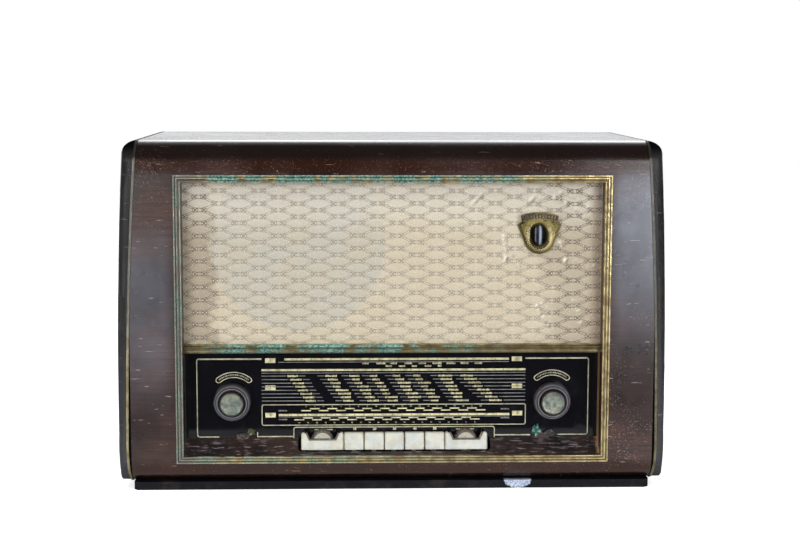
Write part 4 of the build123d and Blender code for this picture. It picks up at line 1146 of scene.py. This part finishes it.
# %% The outer line and the key surround
LEFT, RIGHT, TOP, LOW = -201.9, 203.8, 133.9, 51.0
LINE = 1.0
STRAIGHTS = (
    (LEFT + 3, -135, TOP - 1.5, TOP),
    (137.8, RIGHT - 3, TOP - 1.5, TOP),
    (LEFT, LEFT + LINE, LOW + 3, TOP - 3),
    (RIGHT - LINE, RIGHT, LOW + 4, TOP - 3),
    (LEFT + 3, -179, LOW, LOW + LINE),
    (171.5, RIGHT - 3, LOW + 1, LOW + 2),
    (-140, -102.7, LOW, LOW + 1.3),
    (-140, -139, LOW + 1.3, LOW + 5),
    (106.6, 143.7, LOW + 0.6, LOW + 1.9),
    (-102.6, -101.6, 49.0, 59),
    (105.6, 106.6, 49.6, 59),
    (-99.8, 103.8, 60.8, 61.8),
)
CORNERS = (
    (LEFT + 3, TOP - 3, 3, math.pi / 2),
    (RIGHT - 3, TOP - 3, 3, 0),
    (LEFT + 3, LOW + 3, 3, math.pi),
    (RIGHT - 3, LOW + 4, 3, -math.pi / 2),
    (-99.8, 59.0, 2.8, math.pi / 2),
    (103.8, 59.0, 2.8, 0),
)
outer = bmesh.new()
for straight in STRAIGHTS:
    bar(outer, *straight)
for x, z, radius, start in CORNERS:
    corner = bmesh.new()
    far = corner.verts.new((radius * MM, 0, 0))
    near = corner.verts.new(((radius - LINE) * MM, 0, 0))
    edge = corner.edges.new((near, far))
    bmesh.ops.spin(
        corner, geom=[near, far, edge], axis=(0, -1, 0), cent=(0, 0, 0), steps=6, angle=math.pi / 2
    )
    bmesh.ops.transform(corner, matrix=Matrix.Rotation(-start, 4, "Y"), verts=corner.verts)
    join(outer, thick(corner, x, z))
join(outer, thick(rounded_frame(273.8, 22.4, 2.2, 0.9), 1.7, 74.3))
print("outer lines:", len(outer.faces), "faces")

# %% [markdown]
# Over each knob is an arched frame with a row of marks in it. It is made flat, a rounded frame cut
# into short pieces, and every point is then carried round an arc: how far along it was becomes an
# angle, and how high it was becomes a distance from the middle.

# %% Arched frames over the knobs
ARC = 24.6
for x, z in ((-163.6, 92.1), (165.4, 93.4)):
    arched = rounded_frame(40, 6.2, 3.0, 0.9, cuts=14)
    for vertex in arched.verts:
        angle = vertex.co.x / (ARC * MM)
        reach = ARC * MM + vertex.co.z
        vertex.co = (reach * math.sin(angle), 0, reach * math.cos(angle))
    join(outer, thick(arched, x, z))
    for mark in range(-9, 10):
        turn = Matrix.Rotation(mark * 0.072, 4, "Y")
        place = Matrix.Translation((x * MM, PRINT_Y, z * MM)) @ turn @ Matrix.Translation((0, 0, ARC * MM))
        size = Matrix.Diagonal((0.9 * MM, FILM, (1.1 + 0.4 * (mark % 3)) * MM, 1))
        bmesh.ops.create_cube(outer, size=1, matrix=place @ size)
print_lines = as_object("print_lines", outer, "cabinet", line_print, smooth=False)
print("lines piece:", len(print_lines.data.polygons), "faces")

# %% [markdown]
# Two scales run the width of the dial, with alternating marks above and below and plain figures that
# only count up or down. Small boxes at the ends are printed over in black, so the overprint is a
# piece of its own, lifted by one film so that it never shares a surface with the gold.

# %% Scales with plain figures
scales = bmesh.new()
bar(scales, -111.5, 120.5, 131.6, 133.8)
bar(scales, -135, 137.8, 120.4, 122.5)
bar(scales, -117.6, 121.6, 73.1, 75.4)
for number in range(21):
    upper = -89.4 + 9.05 * number
    lower = -96.4 + 9.1 * number
    odd = number % 2
    bar(scales, upper - 5, upper + 5, 78.2 + 2.0 * odd, 79.4 + 2.0 * odd)
    bar(scales, lower - 5, lower + 5, 68.6 + 1.9 * odd, 69.8 + 1.9 * odd)
    figures(scales, str(number + 2), upper, 83.2, 1.5)
    figures(scales, str(44 - 2 * number), lower, 66.0, 1.5)
BOXES = ((-126, 131.5), (-126, 103.1), (-126, 74.2), (128.7, 132.5), (129.1, 104), (129.7, 75.2))
for x, z in BOXES:
    bar(scales, x - 5.3, x + 5.3, z - 2.4, z + 2.4)
overprint = bmesh.new()
for number, (x, z) in enumerate(BOXES):
    figures(overprint, str(number % 3 + 1), x, z, 3.2, lift=FILM)
for number in range(23):
    bar(overprint, -104 + 10 * number, -103.4 + 10 * number, 132.0, 133.4, lift=FILM)
    bar(overprint, -108 + 9.8 * number, -107.4 + 9.8 * number, 73.5, 75.0, lift=FILM)
for number in range(26):
    bar(overprint, -118 + 9.7 * number, -117.4 + 9.7 * number, 120.8, 122.1, lift=FILM)
KEY_PLACES = (-39.2, -18.4, 2.2, 23.4, 44)
for number, x in enumerate(KEY_PLACES):
    figures(scales, str(10 * number + 10), x, 59.25, 2.5, bold=0.2)
for x in (-71.4, 75.4):
    for mark in range(-6, 7):
        bar(scales, x + 1.45 * mark - 0.5, x + 1.45 * mark + 0.5, 58.0, 59.4)
print_overprint = as_object("print_overprint", overprint, "cabinet", black_print, smooth=False)
print("scale bars:", len(scales.faces), "faces")

# %% [markdown]
# Between the scales, eight slanting rows of small upright marks stand where such dials list their
# stations, joined by quiet grey lines. Their widths come from a random number with a fixed seed, so
# they look set by hand and are still the same on every run.

# %% Rows of station marks
quiet = bmesh.new()
bar(quiet, -117.6, 120.5, 129.3, 130.1)
bar(quiet, -135, 137.8, 118.0, 118.7)
bar(quiet, -117.6, 121.6, 71.9, 72.4)
for x0, x1, z in ((-117.6, -108.5, 78.8), (-117.6, -108.5, 69.6), (112.6, 121.6, 79.8), (112.6, 121.6, 70.4)):
    for mark in range(6):
        bar(quiet, x0 + 1.5 * mark, x0 + 1.5 * mark + 1.1, z - 0.7, z + 0.7)
spread = random.Random(11)


def station(start, z, width):
    """A row of upright marks that reads as one small printed word."""
    for mark in range(round(width / 1.35)):
        left = start + 1.35 * mark
        tall = spread.choice((1.5, 1.7, 2.0))
        bar(scales, left, left + spread.uniform(0.75, 1.15), z - 0.9, z - 0.9 + tall)


COLUMNS = (-108.3, -69.4, -44.5, -23.6, 0.2, 21.3, 47.2)
for row in range(8):
    z = 115.2 - 3.74 * row
    first = COLUMNS[0] + 2.65 * row
    width = spread.uniform(9, 13)
    bar(quiet, -134.9, first - 1.5, z - 0.3, z + 0.45)
    station(first, z, width)
    bar(quiet, first + width + 0.5, first + width + 7.5, z - 0.3, z + 0.45)
    for column in COLUMNS[1:]:
        start = column + 2.65 * row
        bar(quiet, start - 8, start - 1, z - 0.3, z + 0.45)
        station(start, z, spread.uniform(7.5, 14.5))
    last = 69.9 + 4.35 * row
    width = spread.uniform(10, 15)
    bar(quiet, last - 8.5, last - 1, z - 0.3, z + 0.45)
    station(last, z, width)
    bar(quiet, last + width + 1, 137.8, z - 0.3, z + 0.45)
for number in range(9):
    station(-31 + 14.5 * number, 128.2, spread.uniform(6, 10))
for number in range(5):
    station(-7 + 13.5 * number, 125.4, spread.uniform(4, 9))
print_scales = as_object("print_scales", scales, "cabinet", gold_print, smooth=False)
print_quiet = as_object("print_quiet_lines", quiet, "cabinet", grey_print, smooth=False)
print("station marks:", len(print_scales.data.polygons), "faces")

# %% [markdown]
# ## Ornament over the tuning eye
# The brass shield carries a dark arched band along its top. A short edge turned about a far-off
# centre gives the arch, and solidify makes it a plate. A curve with a bevel would do too, but a
# spin keeps both ends square and radial, as they were stamped.

# %% Arched band
BAND_CENTRE = Vector((0.1486, 0, 0.2094))
BAND_LOW, BAND_HIGH, BAND_HALF_TURN = 0.0698, 0.0757, math.radians(14.4)
BAND_STEPS = 14
RIB_DEPTH = 0.0008
badge_front = Vector((0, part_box("eye_escutcheon")[0].y, 0))


def on_arc(radius, angle):
    """A point of the band's arc, measured from its centre; the angle is zero at the top."""
    return Vector((radius * math.sin(angle), 0, radius * math.cos(angle)))


band = bmesh.new()
near = band.verts.new(on_arc(BAND_LOW, -BAND_HALF_TURN))
far = band.verts.new(on_arc(BAND_HIGH, -BAND_HALF_TURN))
edge = band.edges.new((near, far))
bmesh.ops.spin(
    band, geom=[near, far, edge], axis=(0, 1, 0), cent=(0, 0, 0), steps=BAND_STEPS, angle=2 * BAND_HALF_TURN
)
bmesh.ops.recalc_face_normals(band, faces=band.faces)
bmesh.ops.solidify(band, geom=band.faces[:], thickness=0.0014)
in_front = Matrix.Translation(BAND_CENTRE + badge_front - Vector((0, 0.0002, 0)))
bmesh.ops.transform(band, matrix=in_front, verts=band.verts)
enamel = worn_paint("dark_enamel", (0.022, 0.009, 0.009), (0.12, 0.07, 0.05), 0.35, 300, 0.25)
eye_band = as_object("eye_band", band, "cabinet", enamel, smooth=False)

print("band:", len(eye_band.data.polygons), "faces")

# %% [markdown]
# The raised ornament stands on the band. Eleven ribs are set out by turning a cube about the band's
# centre, and two rims are chains of short bars, each laid from one point of the arc to the next.

# %% Ribs and rims on the band
ribs = bmesh.new()
rib_front = Matrix.Translation(BAND_CENTRE + badge_front - Vector((0, 0.0016, 0)))
for number in range(-5, 6):
    turn = Matrix.Rotation(number * BAND_HALF_TURN / 6, 4, "Y")
    middle = Matrix.Translation((0, 0, (BAND_LOW + BAND_HIGH) / 2))
    size = Matrix.Diagonal((0.0013, RIB_DEPTH, 0.0032 if number % 3 else 0.0020, 1))
    bmesh.ops.create_cube(ribs, size=1, matrix=rib_front @ turn @ middle @ size)
for radius in (BAND_LOW + 0.0004, BAND_HIGH - 0.0004):
    for step in range(BAND_STEPS):
        a = on_arc(radius, BAND_HALF_TURN * (2 * step / BAND_STEPS - 1))
        b = on_arc(radius, BAND_HALF_TURN * (2 * (step + 1) / BAND_STEPS - 1))
        turn = Matrix.Rotation(-math.atan2(b.z - a.z, b.x - a.x), 4, "Y")
        size = Matrix.Diagonal(((b - a).length + 0.0001, RIB_DEPTH, 0.0005, 1))
        bmesh.ops.create_cube(ribs, size=1, matrix=rib_front @ Matrix.Translation((a + b) / 2) @ turn @ size)
eye_ribs = as_object("eye_band_ribs", ribs, "cabinet", badge_brass, smooth=False)
print("ribs:", len(eye_ribs.data.polygons), "faces")

# %% [markdown]
# ## Corroded crumbs at the glass clips
# Two of the clips that hold the glass have swollen with verdigris, and one has rusted into a flat
# lump. A ball of triangles is squeezed to size, and noise pushes each point in or out along its
# own direction, which gives the knobbly look of crystals.

# %% Verdigris and rust lumps
def lump(name, place, size, rough, material, seed):
    """A knobbly lump at a place in millimetres, with its three half sizes."""
    built = bmesh.new()
    bmesh.ops.create_icosphere(built, subdivisions=4, radius=1.0)
    for point in built.verts:
        direction = point.co.normalized()
        push = noise.fractal(direction * 2.6 + Vector((seed, 0, 0)), 0.9, 2.1, 4)
        point.co = direction * (1.0 + rough * push)
    scale = Matrix.Diagonal((*(half * MM for half in size), 1))
    centre = Vector(place) * MM + Vector((0, FRONT_Y, 0))
    bmesh.ops.transform(built, matrix=Matrix.Translation(centre) @ scale, verts=built.verts)
    return as_object(name, built, "cabinet", material)


green_salt = worn_paint("green_salt", (0.018, 0.075, 0.060), (0.25, 0.46, 0.36), 0.8, 260, 1.0)
olive_salt = worn_paint("olive_salt", (0.050, 0.045, 0.020), (0.42, 0.38, 0.20), 0.7, 260, 1.0)
grey_rust = worn_paint("grey_rust", (0.035, 0.030, 0.032), (0.20, 0.17, 0.17), 0.8, 240, 1.0)
crumbs = [
    lump("clip_crumb_green", (149.6, 22.6, 56.4), (4.2, 1.5, 4.6), 0.55, green_salt, 3.0),
    lump("clip_crumb_spike", (150.6, 23.0, 60.6), (1.3, 1.0, 3.6), 0.4, green_salt, 7.0),
    lump("clip_crumb_grey", (163.7, 22.2, 54.6), (5.2, 1.6, 3.3), 0.5, grey_rust, 11.0),
    lump("clip_crumb_olive", (-146.0, 22.8, 57.0), (3.6, 1.3, 3.2), 0.6, olive_salt, 17.0),
    lump("clip_crumb_brown", (-153.6, 23.0, 53.6), (4.2, 1.0, 2.2), 0.5, grey_rust, 23.0),
]
print("crumbs:", len(crumbs))

# %% [markdown]
# ## Screws of the back
# The back panel is held by round-headed screws with a slot. A dome is a sphere cut in half by
# bisect_plane and flattened. The slot is a thin dark bar let into it, painted shade in place of a
# cut, because a real cut would cost a boolean for every screw and look the same. Each slot stands
# at its own angle, as screws really do.

# %% Round-headed screws
BACK_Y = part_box("back_panel")[1].y
SCREWS = [(x, z) for x in (-255, -128, 0, 128, 255) for z in (26, 335)]
SCREWS += [(-258, 120), (258, 120), (-258, 235), (258, 235)]
upright = Matrix.Rotation(-math.pi / 2, 4, "X")
heads = bmesh.new()
slots = bmesh.new()
washers = bmesh.new()
turns = random.Random(5)
for x, z in SCREWS:
    place = Matrix.Translation((x * MM, BACK_Y, z * MM))
    dome = bmesh.new()
    bmesh.ops.create_uvsphere(dome, u_segments=20, v_segments=12, radius=0.0034)
    everything = dome.verts[:] + dome.edges[:] + dome.faces[:]
    cut = bmesh.ops.bisect_plane(
        dome, geom=everything, plane_co=(0, 0, 0), plane_no=(0, 0, -1), clear_outer=True
    )
    rim = [part for part in cut["geom_cut"] if isinstance(part, bmesh.types.BMEdge)]
    bmesh.ops.contextual_create(dome, geom=rim)
    bmesh.ops.transform(dome, matrix=Matrix.Diagonal((1, 1, 0.55, 1)), verts=dome.verts)
    bmesh.ops.recalc_face_normals(dome, faces=dome.faces)
    bmesh.ops.transform(dome, matrix=place @ upright, verts=dome.verts)
    join(heads, dome)
    flat = place @ Matrix.Translation((0, 0.0003, 0)) @ upright
    bmesh.ops.create_cone(
        washers, cap_ends=True, segments=24, radius1=0.0052, radius2=0.0047, depth=0.0006, matrix=flat
    )
    angle = Matrix.Rotation(turns.uniform(0, math.pi), 4, "Y")
    size = Matrix.Diagonal((0.0062, 0.0014, 0.0008, 1))
    across = place @ Matrix.Translation((0, 0.0013, 0)) @ angle @ size
    bmesh.ops.create_cube(slots, size=1, matrix=across)
screw_steel = bare_metal(
    "screw_steel", (0.42, 0.38, 0.30), 0.35, scale=300, stain=(0.14, 0.07, 0.03), amount=0.8
)
# Painted shade: the slot's dark bar stands for the shade in the cut, with rubbed dirt.
slot_shade = worn_paint("slot_shade_and_dirt", (0.010, 0.008, 0.006), (0.08, 0.05, 0.03), 0.8, 400, 0.5)
back_screws = as_object("back_screws", heads, "cabinet", screw_steel)
back_slots = as_object("back_screw_slots", slots, "cabinet", slot_shade, smooth=False)
back_washers = as_object("back_washers", washers, "cabinet", screw_steel, smooth=False)
print("back screws:", len(SCREWS))

# %% [markdown]
# ## Lining of the thumb wheel notches
# A dull strip lines each notch in the white end blocks and frames the wheel. It starts as a chain
# of three edges that follows the notch. Extruding the chain backwards makes a ribbon, and solidify
# gives the ribbon its thickness towards the wheel, so that it never cuts into the block.

# %% Notch linings
NOTCH = ((-17.1, 58.5), (-13.9, 51.1), (13.9, 51.1), (17.1, 58.5))
linings = bmesh.new()
for wheel in ("thumb_wheel_left", "thumb_wheel_right"):
    centre_x = sum(corner.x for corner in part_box(wheel)) / 2
    ribbon = bmesh.new()
    corners = [ribbon.verts.new((centre_x + x * MM, FRONT_Y + 0.0078, z * MM)) for x, z in NOTCH]
    chain = [ribbon.edges.new(pair) for pair in zip(corners, corners[1:])]
    drawn = bmesh.ops.extrude_edge_only(ribbon, edges=chain)
    moved = [part for part in drawn["geom"] if isinstance(part, bmesh.types.BMVert)]
    bmesh.ops.translate(ribbon, verts=moved, vec=(0, 0.0032, 0))
    lowest = min(ribbon.faces, key=lambda face: face.calc_center_median().z)
    if lowest.normal.z < 0:
        bmesh.ops.reverse_faces(ribbon, faces=ribbon.faces)
    bmesh.ops.solidify(ribbon, geom=ribbon.faces[:], thickness=-0.0014)
    join(linings, ribbon)
lining_stuff = worn_paint("notch_lining", (0.10, 0.085, 0.070), (0.30, 0.25, 0.20), 0.45, 260, 0.9)
notch_linings = as_object("notch_linings", linings, "cabinet", lining_stuff, smooth=False)
print("notch linings:", len(notch_linings.data.polygons), "faces")
